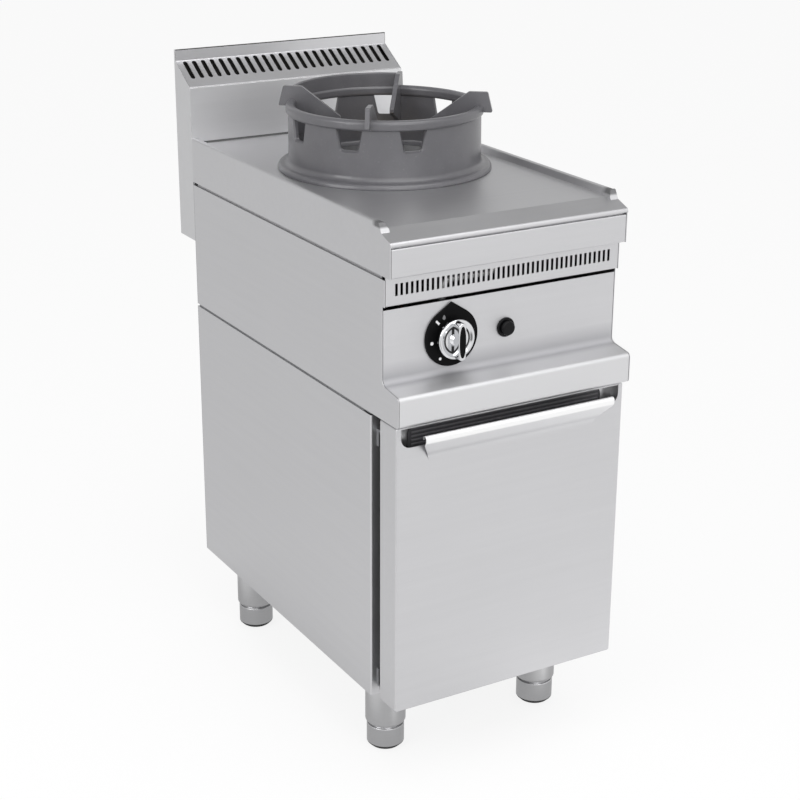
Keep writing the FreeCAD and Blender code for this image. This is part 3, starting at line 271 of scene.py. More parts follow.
def panel_sheet():
    finish = Finish("satin panel, dull in the hollow", steel_colour, 0.52, metallic=1.0)
    shade, rough = satin_grain(finish, X, steel_colour, 0.52)
    below = finish.step(finish.along(Z), hollow_top, hollow_low)
    behind = finish.step(finish.along(Y), ledge_front, ledge_back)
    # Painted shade: the hollow of the fold is made darker and rougher than the sheet.
    hollow = below * behind
    painted_shade = finish.node("ShaderNodeMix", {"data_type": "RGBA", "blend_type": "MULTIPLY"},
                       {0: hollow, 6: shade, 7: (0.74, 0.74, 0.75, 1)}, output=2)
    # Painted light: the flat ledge is made paler than the sheet.
    ledge = below * (1.0 - behind)
    finish.set("Base Color", finish.mix(ledge, painted_shade, (0.67, 0.67, 0.68)))
    finish.set("Roughness", rough + hollow * 0.12)
    return finish.material


panel_steel = panel_sheet()
print("panel sheet made")

# %% [markdown]
# ## The worktop
# The worktop is the same sheet, polished a little finer so that spills wipe off. Its side rims end in a
# cut edge at the front, which is made much darker than the rolled sheet as painted shade. Those ends
# could have a material of their own, but then faces must be picked by number. Three soft steps by place
# do the same, and still hold when the mesh changes.

# %% The worktop, with painted shade on its rim ends
rim_inside, rim_outside = 0.1835, 0.1865
rim_foot, rim_top = 0.8635, 0.8665
rim_shade_back, rim_shade_front = -0.288, -0.298


def worktop_sheet():
    finish = Finish("satin worktop, painted shade on rim ends", steel_colour, 0.40, metallic=1.0)
    shade, rough = satin_grain(finish, X, steel_colour, 0.40)
    aside = finish.step(abs(finish.along(X)), rim_inside, rim_outside)
    rim = aside * finish.step(finish.along(Z), rim_foot, rim_top)
    # Painted shade: the front ends of the side rims are made much darker than the sheet.
    painted_rim_shade = rim * finish.step(finish.along(Y), rim_shade_back, rim_shade_front)
    grit = finish.noise((900.0, 900.0, 900.0), detail=2.0)
    painted_shade = finish.mix(grit, (0.16, 0.16, 0.165), (0.26, 0.26, 0.265))
    finish.set("Base Color", finish.mix(painted_rim_shade, shade, painted_shade))
    finish.set("Roughness", rough + painted_rim_shade * 0.2)
    return finish.material


worktop_steel = worktop_sheet()
print("worktop sheet made")

# %% [markdown]
# ## The door's skin
# The pull lip is flared out of the same sheet as the door. The lip is made brighter than the flat below
# it, and its bead brightest of all, as a painted highlight. A lamp could be aimed at the lip, but it
# would light the door too. A paler metal in front of the door's face touches nothing else.

# %% The door's skin, with a painted highlight on its lip
door_face = -0.3520
lip_root, lip_front = door_face - 0.003, door_face - 0.011
bead_foot, bead_top = 0.5630, 0.5660


def door_sheet():
    finish = Finish("satin door, painted highlight on lip", steel_colour, 0.42, metallic=1.0)
    shade, rough = satin_grain(finish, X, steel_colour, 0.42)
    lip = finish.step(finish.along(Y), lip_root, lip_front)
    bead = lip * finish.step(finish.along(Z), bead_foot, bead_top)
    # Painted highlight: the lip is made paler than the door and its bead near white.
    lip_painted_light = finish.mix(lip, shade, (0.76, 0.76, 0.77))
    finish.set("Base Color", finish.mix(bead, lip_painted_light, (0.93, 0.93, 0.93)))
    finish.set("Roughness", rough + lip * 0.03)
    return finish.material


door_steel = door_sheet()
print("door sheet made")

# %% [markdown]
# ## The flue box
# Outside it is satin sheet too, made a little paler as painted light. Inside it is made a dull
# brown-black as painted shade, which is why the slots of the grille look black. A black sheet could be
# hung behind the slots, but that is a piece that no real flue has. One material does both: three
# comparisons with the point's place say whether it lies inside the box.

# %% Satin outside made paler, painted shade inside
flue_inside = 0.1990
flue_front, flue_back = 0.3188, 0.3771


def flue_sheet():
    # Painted light: the outside is a paler copy of the satin steel.
    outside = (0.66, 0.66, 0.67)
    finish = Finish("flue sheet, painted shade inside", outside, 0.52)
    shade, rough = satin_grain(finish, X, outside, 0.52)
    between_sides = abs(finish.along(X)) < flue_inside
    behind_front = finish.along(Y) > flue_front
    before_back = finish.along(Y) < flue_back
    inside = between_sides * behind_front * before_back
    flakes = finish.noise((60.0, 60.0, 60.0), detail=4.0)
    # Painted shade: inside the box the sheet is made near black.
    painted_inside_shade = finish.mix(flakes, (0.006, 0.0055, 0.005), (0.02, 0.018, 0.016))
    finish.set("Base Color", finish.mix(inside, shade, painted_inside_shade))
    finish.set("Roughness", rough + inside * 0.35)
    finish.set("Metallic", 1.0 - inside)
    return finish.material


flue_painted_shade = flue_sheet()
print("flue sheet made")

# %% [markdown]
# ## The other metals
# Inner sheet is plainer and duller. The pocket's tray is brighter. Legs are turned tube, with fine
# rings round them, and so are pipes that were drawn through a die. Each could have its own network,
# but two kinds are enough: one for sheet and one for what is round, with other numbers each time.


# %% Plain inner sheet, bright sheet and turned steel
def plain_sheet(name, colour, roughness):
    finish = Finish(name, colour, roughness, metallic=1.0)
    clouds = finish.noise((25.0, 25.0, 25.0), detail=4.0, roughness=0.6)
    specks = finish.noise((900.0, 900.0, 900.0), detail=2.0)
    darker = tuple(0.82 * part for part in colour)
    finish.set("Base Color", finish.mix(clouds * 0.7 + specks * 0.3, darker, colour))
    finish.set("Roughness", roughness - 0.08 + clouds * 0.16)
    finish.bump(specks, 0.00002, 0.3)
    return finish.material


inner_sheet = plain_sheet("plain inner sheet", (0.42, 0.425, 0.435), 0.45)
bright_sheet = plain_sheet("bright tray sheet", (0.60, 0.60, 0.61), 0.3)


def turned_metal(name, colour, roughness, rings=1400.0):
    finish = Finish(name, colour, roughness, metallic=1.0)
    grooves = finish.noise((60.0, 60.0, rings), detail=1.0)
    clouds = finish.noise((30.0, 30.0, 30.0), detail=3.0)
    darker = tuple(0.88 * part for part in colour)
    finish.set("Base Color", finish.mix(grooves * 0.6 + clouds * 0.4, darker, colour))
    finish.set("Roughness", roughness - 0.05 + grooves * 0.08 + clouds * 0.04)
    finish.bump(grooves, 0.00002, 0.4)
    return finish.material


leg_metal = turned_metal("satin turned steel", (0.60, 0.60, 0.61), 0.30)
tube_silver = turned_metal("drawn aluminium tube", (0.66, 0.66, 0.66), 0.38)
tube_red = turned_metal("drawn copper tube", (0.72, 0.42, 0.28), 0.30)
brass = turned_metal("heat-dulled brass", (0.50, 0.38, 0.18), 0.36, rings=2200.0)
print("inner, bright and turned metals made")

# %% [markdown]
# ## Feet
# A foot is turned from the same steel, and stands on a ring of dark rubber. Above it, inside the leg,
# is its threaded stem. The thread could be cut as a real screw line, at the cost of thousands of
# faces. It is a fine zigzag of relief along the stem instead, because it shows only when the foot is
# screwed out.

# %% Foot with its rubber ring and threaded stem
rubber_top, stem_foot = 0.0075, 0.0415
half_pitch = 0.001


def foot_finish():
    finish = Finish("turned foot on rubber", (0.58, 0.58, 0.59), 0.36)
    grooves = finish.noise((60.0, 60.0, 1400.0), detail=1.0)
    clouds = finish.noise((30.0, 30.0, 30.0), detail=3.0)
    height = finish.along(Z)
    rubber = height < rubber_top
    stem = height > stem_foot
    metal = finish.mix(grooves * 0.6 + clouds * 0.4, (0.50, 0.50, 0.51), (0.60, 0.60, 0.61))
    finish.set("Base Color", finish.mix(rubber, metal, (0.02, 0.02, 0.021)))
    finish.set("Roughness", 0.28 + grooves * 0.06 + rubber * 0.38)
    finish.set("Metallic", 1.0 - rubber)
    zigzag = finish.node("ShaderNodeMath", {"operation": "PINGPONG"}, {0: height, 1: half_pitch})
    finish.bump(stem * zigzag * (1.0 / half_pitch) + (1.0 - stem) * grooves * 0.03, 0.0008)
    return finish.material


foot_metal = foot_finish()
print("foot finish made")

# %% [markdown]
# ## Castings
# The ring that carries the wok is a heavy iron casting under dark grey enamel. Cast skin is never
# flat: it has a fine grain from the sand and a slow waviness, and the glaze on it pools and thins.
# Pale flecks show where the glaze has rubbed thin. Such skin could be sculpted, but relief in the
# material is enough, because none of it breaks the outline. The burner castings have no glaze, so they
# are duller and browner.


# %% Enamelled ring and raw burner casting
def casting(name, dark, light, roughness, grain_depth):
    finish = Finish(name, light, roughness)
    grain = finish.noise((700.0, 700.0, 700.0), detail=3.0, roughness=0.6)
    waves = finish.noise((45.0, 45.0, 45.0), detail=2.0)
    worn = finish.noise((260.0, 260.0, 260.0), detail=4.0, roughness=0.7)
    flecks = finish.ramp(worn, [(0.60, 0.0), (0.74, 1.0)])
    skin = finish.mix(grain * 0.4 + waves * 0.6, dark, light)
    paler = tuple(1.7 * part for part in light)
    finish.set("Base Color", finish.mix(flecks * 0.35, skin, paler))
    finish.set("Roughness", roughness - 0.1 + waves * 0.14 + grain * 0.06)
    finish.bump(grain * 0.5 + waves, grain_depth)
    return finish


ring_enamel = casting("grey enamel on cast iron",
                      (0.080, 0.079, 0.086), (0.116, 0.114, 0.124), 0.36, 0.00025)
ring_enamel.set("Coat Weight", 0.35)
ring_enamel.set("Coat Roughness", 0.2)
burner_iron = casting("bare burner casting",
                      (0.045, 0.040, 0.036), (0.10, 0.092, 0.085), 0.62, 0.0004)
print("castings made")

# %% [markdown]
# ## Enamel, blacks and small fittings
# The spill bowl is dark vitreous enamel, smooth and wet-looking. The dial is printed plastic, and the
# insert of the pull is a matt moulding with a fine spark grain. Plain flat colours would do from afar,
# but up close they look like nothing at all, so each gets a grain of its own size. The blacks of the
# dial and the button are kept from shining, or the white room would turn them grey.


# %% Moulded blacks and the bowl's enamel
def moulding(name, colour, roughness, grain_depth, grain_scale=2600.0, gloss=0.5):
    finish = Finish(name, colour, roughness)
    finish.set("Specular IOR Level", gloss)
    grain = finish.noise((grain_scale, grain_scale, grain_scale), detail=1.0)
    clouds = finish.noise((40.0, 40.0, 40.0), detail=2.0)
    lighter = tuple(1.5 * part + 0.002 for part in colour)
    finish.set("Base Color", finish.mix(grain * 0.5 + clouds * 0.5, colour, lighter))
    finish.set("Roughness", roughness - 0.04 + clouds * 0.1)
    finish.bump(grain, grain_depth, 0.6)
    return finish.material


dial_black = moulding("black printed dial", (0.003, 0.003, 0.0033), 0.35, 0.000004, gloss=0.05)
button_black = moulding("glossy black plastic", (0.004, 0.004, 0.0045), 0.25, 0.000004, gloss=0.14)
matt_black = moulding("matt black moulding", (0.034, 0.033, 0.036), 0.5, 0.00003, gloss=0.4)
# Painted sheen: the ribs are paler than the insert, for the light streak along it.
rib_black = moulding("ribs of the pull, painted sheen", (0.085, 0.084, 0.090), 0.42, 0.00002, gloss=0.5)
lead_rubber = moulding("red silicone lead", (0.26, 0.035, 0.025), 0.45, 0.00001)
white_glaze = moulding("white glazed ceramic", (0.62, 0.60, 0.55), 0.15, 0.00001)
bowl_enamel = moulding("dark vitreous enamel", (0.030, 0.030, 0.033), 0.2, 0.00002, grain_scale=300.0)
pale_print = moulding("pale printed ink", (0.62, 0.62, 0.63), 0.5, 0.000002)
dark_sealant = moulding("dark joint sealant", (0.030, 0.030, 0.031), 0.45, 0.00003, grain_scale=500.0)
print("mouldings made")

# %% [markdown]
# ## Chrome
# Chrome is a clear mirror with faint wiping marks. It has no colour of its own, so what shows on the knob
# is the room, the dial and its own shape, and a painted dark reflection: black laid in a ring round the
# knob's hollow face and in the corners beside its bar. The painted dark could be thin rings of their own,
# but those would fight with the chrome for the same place. The distance from the knob's axis finds the
# ring instead.

# %% Chrome
MM = 0.001
knob_axis = (-87.5, 694.0)
hollow_back, hollow_front = -0.3325, -0.3346
hollow_radius, dark_ring_radius, bar_half = 0.0215, 0.0186, 0.0092


def chrome_plate():
    finish = Finish("bright chrome", (0.78, 0.785, 0.80), 0.07, metallic=1.0)
    wiping = finish.noise((160.0, 160.0, 900.0), detail=3.0, roughness=0.7)
    clouds = finish.noise((60.0, 60.0, 60.0), detail=2.0)
    plate = finish.mix(clouds, (0.62, 0.625, 0.64), (0.74, 0.745, 0.76))
    aside = finish.along(X) - knob_axis[0] * MM
    above = finish.along(Z) - knob_axis[1] * MM
    reach = aside * aside + above * above
    deep = (finish.along(Y) < hollow_back) * (finish.along(Y) > hollow_front)
    hollow = (reach < hollow_radius ** 2) * deep
    # Painted dark reflection: a black ring round the hollow face and black corners beside the bar.
    painted_dark_ring = (reach > dark_ring_radius ** 2) * hollow
    painted_dark_corner = (abs(aside) < bar_half) * hollow
    painted_dark_reflection = 1.0 - (1.0 - painted_dark_ring) * (1.0 - painted_dark_corner)
    finish.set("Base Color", finish.mix(painted_dark_reflection, plate, (0.008, 0.008, 0.009)))
    finish.set("Metallic", 1.0 - painted_dark_reflection)
    finish.set("Roughness", 0.04 + wiping * 0.06 + clouds * 0.03 + painted_dark_reflection * 0.25)
    finish.bump(wiping, 0.000003, 0.3)
    return finish.material


chrome = chrome_plate()
print("chrome made")

# %% [markdown]
# ## Hand the finishes out
# Each piece of the frame has a slot for its material. The slots could be filled one by one, but a table
# is easier to read and to correct. Side sheets get grain from front to back, and the front and top
# sheets get it across, as a workshop would cut them from the coil.

# %% Give every piece of the frame its finish
finish_of_slot = {
    "satin_steel": sheet_across,
    "bright_steel": bright_sheet,
    "inner_steel": inner_sheet,
    "ring_iron": ring_enamel.material,
    "bowl_enamel": bowl_enamel,
    "burner_iron": burner_iron.material,
    "brass_cap": brass,
    "dial_black": button_black,
    "grip_black": matt_black,
    "knob_chrome": chrome,
    "foot_steel": foot_metal,
    "tube_aluminium": tube_silver,
    "tube_copper": tube_red,
    "lead_insulation": lead_rubber,
    "ceramic_white": white_glaze,
}
own_finish = {
    "unit_side_left": sheet_deep,
    "unit_side_right": sheet_deep,
    "cabinet_side_left": sheet_deep,
    "cabinet_side_right": sheet_deep,
    "flue_box": flue_painted_shade,
    "control_panel": panel_steel,
    "worktop": worktop_steel,
    "door_skin": door_steel,
    "legs": leg_metal,
    "dial_bezel": dial_black,
}
for part in frame["record"]["subparts"]:
    wanted = own_finish.get(part["node"], finish_of_slot[part["material_slot"]])
    for slot in nodes[part["node"]].material_slots:
        slot.material = wanted
print("finishes handed out to", len(nodes), "pieces")

# %% [markdown]
# ## Makers for small pieces
# A real range carries small things that the frame leaves out: printed marks, rivets, screws, a thread.
# Each is a little mesh. Blender's ready-made cylinders and cubes would do for some, but not for a
# rivet's head or a flame. So one maker raises a flat outline into a pad, and another turns a profile
# round an axis. Both think in millimetres across, up and out from a face, and a third one knows where
# the face is, so the same rivet can sit on the front or on the back.


# %% Where a face is, and the wall between two rings
def on_front(face):
    """Across, up and out from a face that looks to the front."""
    return lambda across, up, out: Vector((across, face - out, up)) * MM


def on_back(face):
    """Across, up and out from a face that looks to the back."""
    return lambda across, up, out: Vector((across, face + out, up)) * MM


def close_side(shape, low, high):
    """Faces between two rings of points, where a ring may be a single point."""
    for i in range(max(len(low), len(high))):
        after = i + 1
        corners = (low[i % len(low)], low[after % len(low)],
                   high[after % len(high)], high[i % len(high)])
        shape.faces.new(list(dict.fromkeys(corners)))


print("faces to the front and to the back can carry pieces")


# %% Pads and turned shapes
def polygon(centre, radius, sides):
    turns = [math.tau * i / sides for i in range(sides)]
    return [(centre[0] + radius * math.cos(a), centre[1] + radius * math.sin(a)) for a in turns]


def raise_pad(shape, put, outline, height, foot=0.0):
    """Raises an outline of (across, up) points from foot to height above the face."""
    rings = [[shape.verts.new(put(u, v, out)) for u, v in outline] for out in (foot, height)]
    shape.faces.new(rings[0])
    shape.faces.new(rings[1])
    close_side(shape, *rings)


def turn_round(shape, put, centre, profile, steps=28):
    """Turns (radius, out) pairs round an axis that stands on the face."""
    rings = []
    for radius, out in profile:
        count = steps if radius > 0 else 1
        rings.append([shape.verts.new(put(u, v, out)) for u, v in polygon(centre, radius, count)])
    for low, high in zip(rings, rings[1:]):
        close_side(shape, low, high)


print("outlines can be raised and profiles turned")


# %% A finished small piece
def small_piece(name, shape, finish, body, soften=0.0):
    """Turns a shape into an object with soft edges, which rides on a body of the frame."""
    bmesh.ops.recalc_face_normals(shape, faces=shape.faces)
    mesh = bpy.data.meshes.new(name)
    shape.to_mesh(mesh)
    shape.free()
    mesh.materials.append(finish)
    mesh.shade_smooth()
    mesh.set_sharp_from_angle(angle=math.radians(32))
    made = bpy.data.objects.new(name, mesh)
    bpy.context.scene.collection.objects.link(made)
    if soften:
        edge = made.modifiers.new("soft edges", "BEVEL")
        edge.width = soften * MM
        edge.segments = 2
        edge.angle_limit = math.radians(40)
    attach(made, body)
    print(name, "rides on", body, "with", len(mesh.polygons), "faces")


print("small pieces can ride on a body")

# %% [markdown]
# ## Marks of the dial
# The dial carries a bar for off, two dots for full and low flame, and a small flame for the pilot, in
# pale and in grey ink. They could be drawn in the dial's material, but the edge of a mark is sharper as
# a mesh. Each stands a fifth of a millimetre proud, a little more than screen print does, so that it
# never sinks into the dial.

# %% Dial marks
dial_face = -319.5
ink_height = 0.2
# Direction, distance from the knob's axis and radius of each dot.
flame_dots = ((189, 33.2, 2.6), (238, 35.4, 2.2))


def round_knob(direction, radius):
    """A point of the dial at so many degrees and millimetres from the knob's axis."""
    turn = math.radians(direction)
    return knob_axis[0] + radius * math.cos(turn), knob_axis[1] + radius * math.sin(turn)


def mark_bar(direction, inner, outer, width):
    """A bar that points at the knob's axis."""
    lean = math.degrees(width / 2 / outer)
    wider = lean * outer / inner
    return [round_knob(direction - wider, inner), round_knob(direction - lean, outer),
            round_knob(direction + lean, outer), round_knob(direction + wider, inner)]


def dial_marks():
    shape = bmesh.new()
    put = on_front(dial_face)
    raise_pad(shape, put, mark_bar(direction=134, inner=30.2, outer=38.0, width=3.2), ink_height)
    for direction, distance, radius in flame_dots:
        raise_pad(shape, put, polygon(round_knob(direction, distance), radius, 24), ink_height)
    small_piece("dial_marks", shape, pale_print, "chassis")


dial_marks()

# %% The pilot's flame
grey_print = moulding("grey printed ink", (0.16, 0.16, 0.165), 0.5, 0.000002)


def pilot_mark():
    """A small flame: a drop with its tip turned up."""
    shape = bmesh.new()
    middle = round_knob(113, 33.5)
    drop = []
    for i in range(28):
        turn = math.tau * i / 28
        wide = 2.3 * math.cos(turn) * (1 - 0.35 * math.sin(turn))
        drop.append((middle[0] + wide, middle[1] + 3.0 * math.sin(turn) + 0.6 * math.sin(turn) ** 3))
    raise_pad(shape, on_front(dial_face), drop, ink_height)
    small_piece("dial_pilot_mark", shape, grey_print, "chassis")


pilot_mark()

# %% [markdown]
# ## The inlay of the knob
# The knob's bar has a black inlay with rounded sides and pointed ends, which is what the cook sees of
# it from afar. A stretched circle comes close to its outline. A power a little below one fills its
# sides out, so one formula gives the whole form.

# %% Knob inlay
bar_front = -349.4
inlay_half_width, inlay_half_length = 5.2, 23.5
inlay_height = 0.4


def knob_inlay():
    shape = bmesh.new()
    outline = []
    for i in range(48):
        c, s = math.cos(math.tau * i / 48), math.sin(math.tau * i / 48)
        wide = math.copysign(inlay_half_width * abs(c) ** 0.85, c)
        outline.append((knob_axis[0] + wide, knob_axis[1] + inlay_half_length * s))
    raise_pad(shape, on_front(bar_front), outline, inlay_height)
    small_piece("knob_inlay", shape, dial_black, "knob", soften=0.1)


knob_inlay()

# %% [markdown]
# ## Ribs of the pull, and the joint at the flue
# The insert behind the lip has long ribs for the fingers. At the foot of the flue a thin line of sealant
# keeps spills out of the joint. A rib could be a stretched cube, but its flanks are sloped and the
# sealant is hollow. So both are small sections, drawn out along the width.


# %% A section drawn out
def drawn_across(shape, section, left, right):
    """A section of (depth, height) points drawn out from left to right."""
    rings = [[shape.verts.new(Vector((x, y, z)) * MM) for y, z in section] for x in (left, right)]
    shape.faces.new(rings[0])
    shape.faces.new(rings[1])
    close_side(shape, *rings)


print("sections can be drawn across")

# %% Ribs of the pull
rib_root, rib_front = -335.5, -336.5
half_root, half_front = 1.5, 0.7
rib_levels = (550.0, 556.0, 562.0, 568.0, 574.0)
rib_half_length = 163.0


def pull_ribs():
    shape = bmesh.new()
    for level in rib_levels:
        section = [(rib_root, level - half_root), (rib_front, level - half_front),
                   (rib_front, level + half_front), (rib_root, level + half_root)]
        drawn_across(shape, section, -rib_half_length, rib_half_length)
    small_piece("pull_ribs", shape, rib_black, "door", soften=0.2)


pull_ribs()

# %% Sealant at the flue
sealant_half_length = 182.0


def flue_sealant():
    shape = bmesh.new()
    hollow = [(318.1, 862.4), (315.2, 862.4), (315.9, 863.3), (316.9, 864.4), (318.1, 865.4)]
    drawn_across(shape, hollow, -sealant_half_length, sealant_half_length)
    small_piece("flue_sealant", shape, dark_sealant, "chassis")


flue_sealant()

# %% [markdown]
# ## The back
# The back is plain sheet held by pop rivets, each with a small hole where its pin broke off, and it
# carries a bonding stud for the earth wire. The rivets could be copies of one object, but then each
# copy is a piece of its own to carry along. One mesh that holds them all is lighter. Few people see
# them, but a fitter looks for exactly these.

# %% Rivets
back_face = 318.0
rivet_head = [(0.0, 0.5), (0.9, 0.5), (1.1, 1.2), (2.3, 1.1), (3.2, 0.5), (3.5, 0.0), (0.0, -0.3)]
edge_column, edge_levels = 188.0, (146.0, 290.0, 432.0, 568.0, 602.0, 684.0)
middle_column, middle_levels = 64.0, (568.0, 602.0, 146.0)


def back_rivets():
    shape = bmesh.new()
    spots = [(side * edge_column, level) for side in (-1, 1) for level in edge_levels]
    spots += [(side * middle_column, level) for level in middle_levels for side in (-1, 1)]
    for spot in spots:
        turn_round(shape, on_back(back_face), spot, rivet_head)
    small_piece("back_rivets", shape, tube_silver, "chassis")


back_rivets()

# %% Bonding stud
washer = [(0, -0.2), (7.0, -0.2), (7.0, 1.0), (0, 1.0)]
stud_end = [(0, 5.0), (2.9, 5.0), (2.9, 13.2), (2.3, 14.0), (0, 14.0)]
nut_radius, nut_foot, nut_top = 5.8, 1.0, 6.0


def bonding_stud():
    shape = bmesh.new()
    put = on_back(back_face)
    spot = (150.0, 190.0)
    turn_round(shape, put, spot, washer, steps=32)
    raise_pad(shape, put, polygon(spot, nut_radius, 6), nut_top, foot=nut_foot)
    turn_round(shape, put, spot, stud_end, steps=24)
    small_piece("bonding_stud", shape, brass, "chassis", soften=0.3)


bonding_stud()

# %% [markdown]
# ## The gas inlet
# The gas pipe ends behind the range in a union with a pipe thread, and a hexagon for the spanner. On
# the feet a thread of relief was enough, because it is hidden. This one stands out in the open and
# breaks the outline, so it is a real ridge: a small section carried round like a spring.

# %% Thread of the gas inlet
inlet_axis = (-150.0, 640.0)
thread_start = 329.5
thread_section = [(10.3, 0.0), (11.0, 0.42), (11.0, 0.52), (10.3, 0.94)]


def inlet_thread():
    shape = bmesh.new()
    pitch, turns, steps = 1.814, 11, 28
    rings = []
    for i in range(turns * steps + 1):
        turn = math.tau * i / steps
        rise = thread_start + pitch * i / steps
        ring = []
        for radius, step in thread_section:
            across = inlet_axis[0] + radius * math.cos(turn)
            height = inlet_axis[1] + radius * math.sin(turn)
            ring.append(shape.verts.new(Vector((across, rise + step, height)) * MM))
        rings.append(ring)
    shape.faces.new(rings[0])
    shape.faces.new(rings[-1])
    for low, high in zip(rings, rings[1:]):
        close_side(shape, low, high)
    small_piece("inlet_thread", shape, leg_metal, "chassis")


inlet_thread()


# %% Hexagon of the gas inlet
def inlet_hexagon():
    shape = bmesh.new()
    across_corners, thickness = 36.8, 6.4
    raise_pad(shape, on_back(back_face), polygon(inlet_axis, across_corners / 2, 6), thickness)
    small_piece("inlet_hexagon", shape, leg_metal, "chassis", soften=0.8)


inlet_hexagon()

# %% [markdown]
# ## Screws of the hinges
# A round-headed screw holds each hinge leaf to the door's inner sheet. The screws are seen only when
# the door is open, and they must swing with it. So they ride on the door, and not on the cabinet. Their
# heads are turned from a profile, like the rivets, with a socket in the middle.

# %% Hinge screws
leaf_face = -305.0
screw_head = [(0.0, 0.8), (1.2, 0.8), (1.3, 1.5), (2.2, 1.3), (3.0, 0.7), (3.2, 0.0), (0.0, -0.2)]
screw_across, screw_levels = -169.5, (154.5, 569.5)


def hinge_screws():
    shape = bmesh.new()
    for level in screw_levels:
        turn_round(shape, on_back(leaf_face), (screw_across, level), screw_head)
    small_piece("hinge_screws", shape, leg_metal, "door")


hinge_screws()

# %% [markdown]
# ## The room
# Steel shows what stands round it, so the studio matters as much as the finish. A real studio has white
# walls and cards, and we could model each of them. The world's own background does the same with a few
# sums. To the camera the room is white. In reflections it is brightest in front, softer behind, and
# dark high up behind, which gives the worktop its deeper grey and the round edges their bright lines.


# %% The room
def soft_room():
    world = bpy.data.worlds.new("studio room")
    world.use_nodes = True
    bpy.context.scene.world = world
    tree = world.node_tree

    def add(kind, operation=None, **inputs):
        made = tree.nodes.new(kind)
        if operation:
            made.operation = operation
        for key, value in inputs.items():
            socket = made.inputs[int(key[1:])] if key[0] == "n" else made.inputs[key]
            if isinstance(value, bpy.types.NodeSocket):
                tree.links.new(value, socket)
            else:
                socket.default_value = value
        return made

    spread = tree.nodes["Background"]
    spread.inputs["Color"].default_value = (1, 1, 1, 1)
    spread.inputs["Strength"].default_value = 0.72
    way = add("ShaderNodeTexCoord").outputs["Generated"]
    split = add("ShaderNodeSeparateXYZ", n0=way)
    front = add("ShaderNodeMapRange", n0=split.outputs[1], n1=0.6, n2=-0.6, n3=0.86, n4=1.4)
    height = add("ShaderNodeMapRange", n0=split.outputs[2], n1=0.40, n2=0.75, n3=1.0, n4=0.44)
    ahead = add("ShaderNodeMapRange", n0=split.outputs[1], n1=0.1, n2=-0.3, n3=0.0, n4=1.0)
    lifted = add("ShaderNodeMath", "MAXIMUM", n0=height.outputs[0], n1=ahead.outputs[0])
    level = add("ShaderNodeMath", "MULTIPLY", n0=front.outputs[0], n1=lifted.outputs[0])
    mirrored = add("ShaderNodeBackground", Strength=level.outputs[0])
    white = add("ShaderNodeBackground", Strength=1.0)
    rays = add("ShaderNodeLightPath")
    is_glossy, is_camera = rays.outputs["Is Glossy Ray"], rays.outputs["Is Camera Ray"]
    glossy = add("ShaderNodeMixShader", n0=is_glossy, n1=spread.outputs[0], n2=mirrored.outputs[0])
    seen = add("ShaderNodeMath", "MAXIMUM", n0=is_camera, n1=rays.outputs["Is Transmission Ray"])
    whole = add("ShaderNodeMixShader", n0=seen.outputs[0], n1=glossy.outputs[0], n2=white.outputs[0])
    tree.links.new(whole.outputs[0], tree.nodes["World Output"].inputs["Surface"])


soft_room()
print("room is lit")

# %% [markdown]
# ## The floor
# The floor is white in the camera, but it still keeps a little of the shadow that the range throws,
# because a part of it stays an ordinary pale surface. A plain white floor would be simpler, yet then
# every face that looks down shines too much. So in reflections it is darker close to the feet, where a
# cabinet shades its own floor. Two bright strips stay in that dark part, and a paler patch at the right
# lights the lip of the door. Far in front lies one dark card, as a photographer sets up to give chrome
# its black lines.


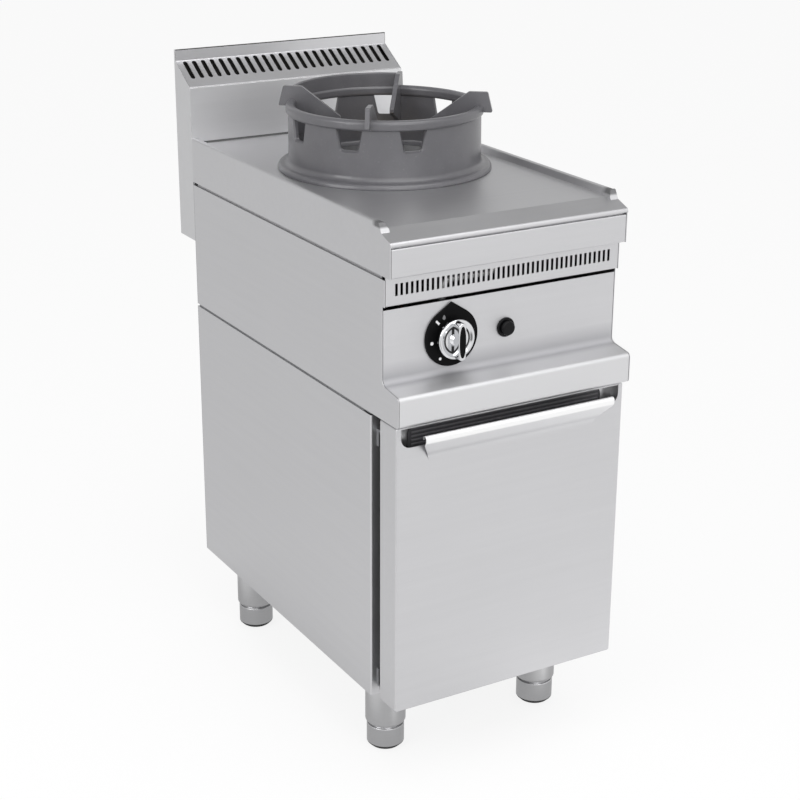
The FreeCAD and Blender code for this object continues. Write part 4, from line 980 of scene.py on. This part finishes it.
# %% The floor, which keeps the shadow
def studio_floor():
    mesh = bpy.data.meshes.new("studio_floor")
    shape = bmesh.new()
    bmesh.ops.create_circle(shape, cap_ends=True, radius=9.0, segments=96)
    shape.to_mesh(mesh)
    shape.free()
    floor = bpy.data.objects.new("studio_floor", mesh)
    bpy.context.scene.collection.objects.link(floor)
    floor.location.z = -0.0005
    finish = Finish("pale studio floor", (0.86, 0.86, 0.86), 0.9)
    finish.set("Specular IOR Level", 0.0)
    across, along = finish.along(X), finish.along(Y)
    depth = finish.node("ShaderNodeMapRange", None, {0: along, 1: 0.7, 2: -0.5, 3: 0.8, 4: 1.0})
    beside = finish.step(along, -0.56, -0.46) * finish.step(along, 0.5, 0.4)
    near = finish.step(abs(across), 0.36, 0.28) * beside
    left = finish.step(across, -0.95, -0.75) * finish.step(across, -0.15, -0.3)
    card = left * finish.step(along, -1.0, -1.2)
    strips = finish.step(abs(abs(across - 0.05) - 0.14), 0.05, 0.03) * finish.step(along, -0.34, -0.38)
    lip_light = finish.step(abs(along + 0.46), 0.16, 0.06) * finish.step(across, -0.05, 0.1)
    depth = depth * (1.0 - near * (1.0 - strips) * 0.4) * (1.0 - card * 0.85) + lip_light * 0.35
    camera_sees = finish.node("ShaderNodeLightPath", output="Is Camera Ray")
    mirror_sees = finish.node("ShaderNodeLightPath", output="Is Glossy Ray")
    clear_sees = finish.node("ShaderNodeLightPath", output="Is Transmission Ray")
    level = depth * mirror_sees + (1.0 - mirror_sees)
    glow = finish.node("ShaderNodeEmission", None, {"Color": (1, 1, 1, 1), "Strength": level})
    share = camera_sees * 0.86 + mirror_sees * 0.9 + clear_sees * 0.9
    blend = {0: share, 1: Wire(finish, finish.shader.outputs[0]), 2: glow}
    mixed = finish.node("ShaderNodeMixShader", None, blend)
    finish.feed(finish.tree.nodes["Material Output"].inputs["Surface"], mixed)
    mesh.materials.append(finish.material)


studio_floor()
print("floor is down")

# %% [markdown]
# ## The lamps
# Three large soft lamps stand in front, at the left and above. Small lamps would draw hard shadows and
# hot spots on the steel. Large ones spread their light, so the faces keep their plain greys and only
# the bends shine.

# %% The lamps
range_middle = Vector((0.0, 0.0, 0.5))


def soft_lamp(name, place, size, power):
    """An area lamp that looks at the middle of the range."""
    light = bpy.data.lights.new(name, "AREA")
    light.shape = "RECTANGLE"
    light.size = size[0]
    light.size_y = size[1]
    light.energy = power
    lamp = bpy.data.objects.new(name, light)
    bpy.context.scene.collection.objects.link(lamp)
    lamp.location = place
    lamp.rotation_euler = (range_middle - Vector(place)).to_track_quat("-Z", "Y").to_euler()


soft_lamp("front lamp", (-0.7, -3.4, 2.1), (2.2, 1.6), 28)
soft_lamp("left lamp", (-3.2, -0.8, 2.2), (1.8, 1.8), 36)
soft_lamp("top lamp", (0.0, -1.2, 3.2), (2.4, 2.0), 30)
print("lamps are set")

# %% [markdown]

# %% The end
print("the range is dressed")
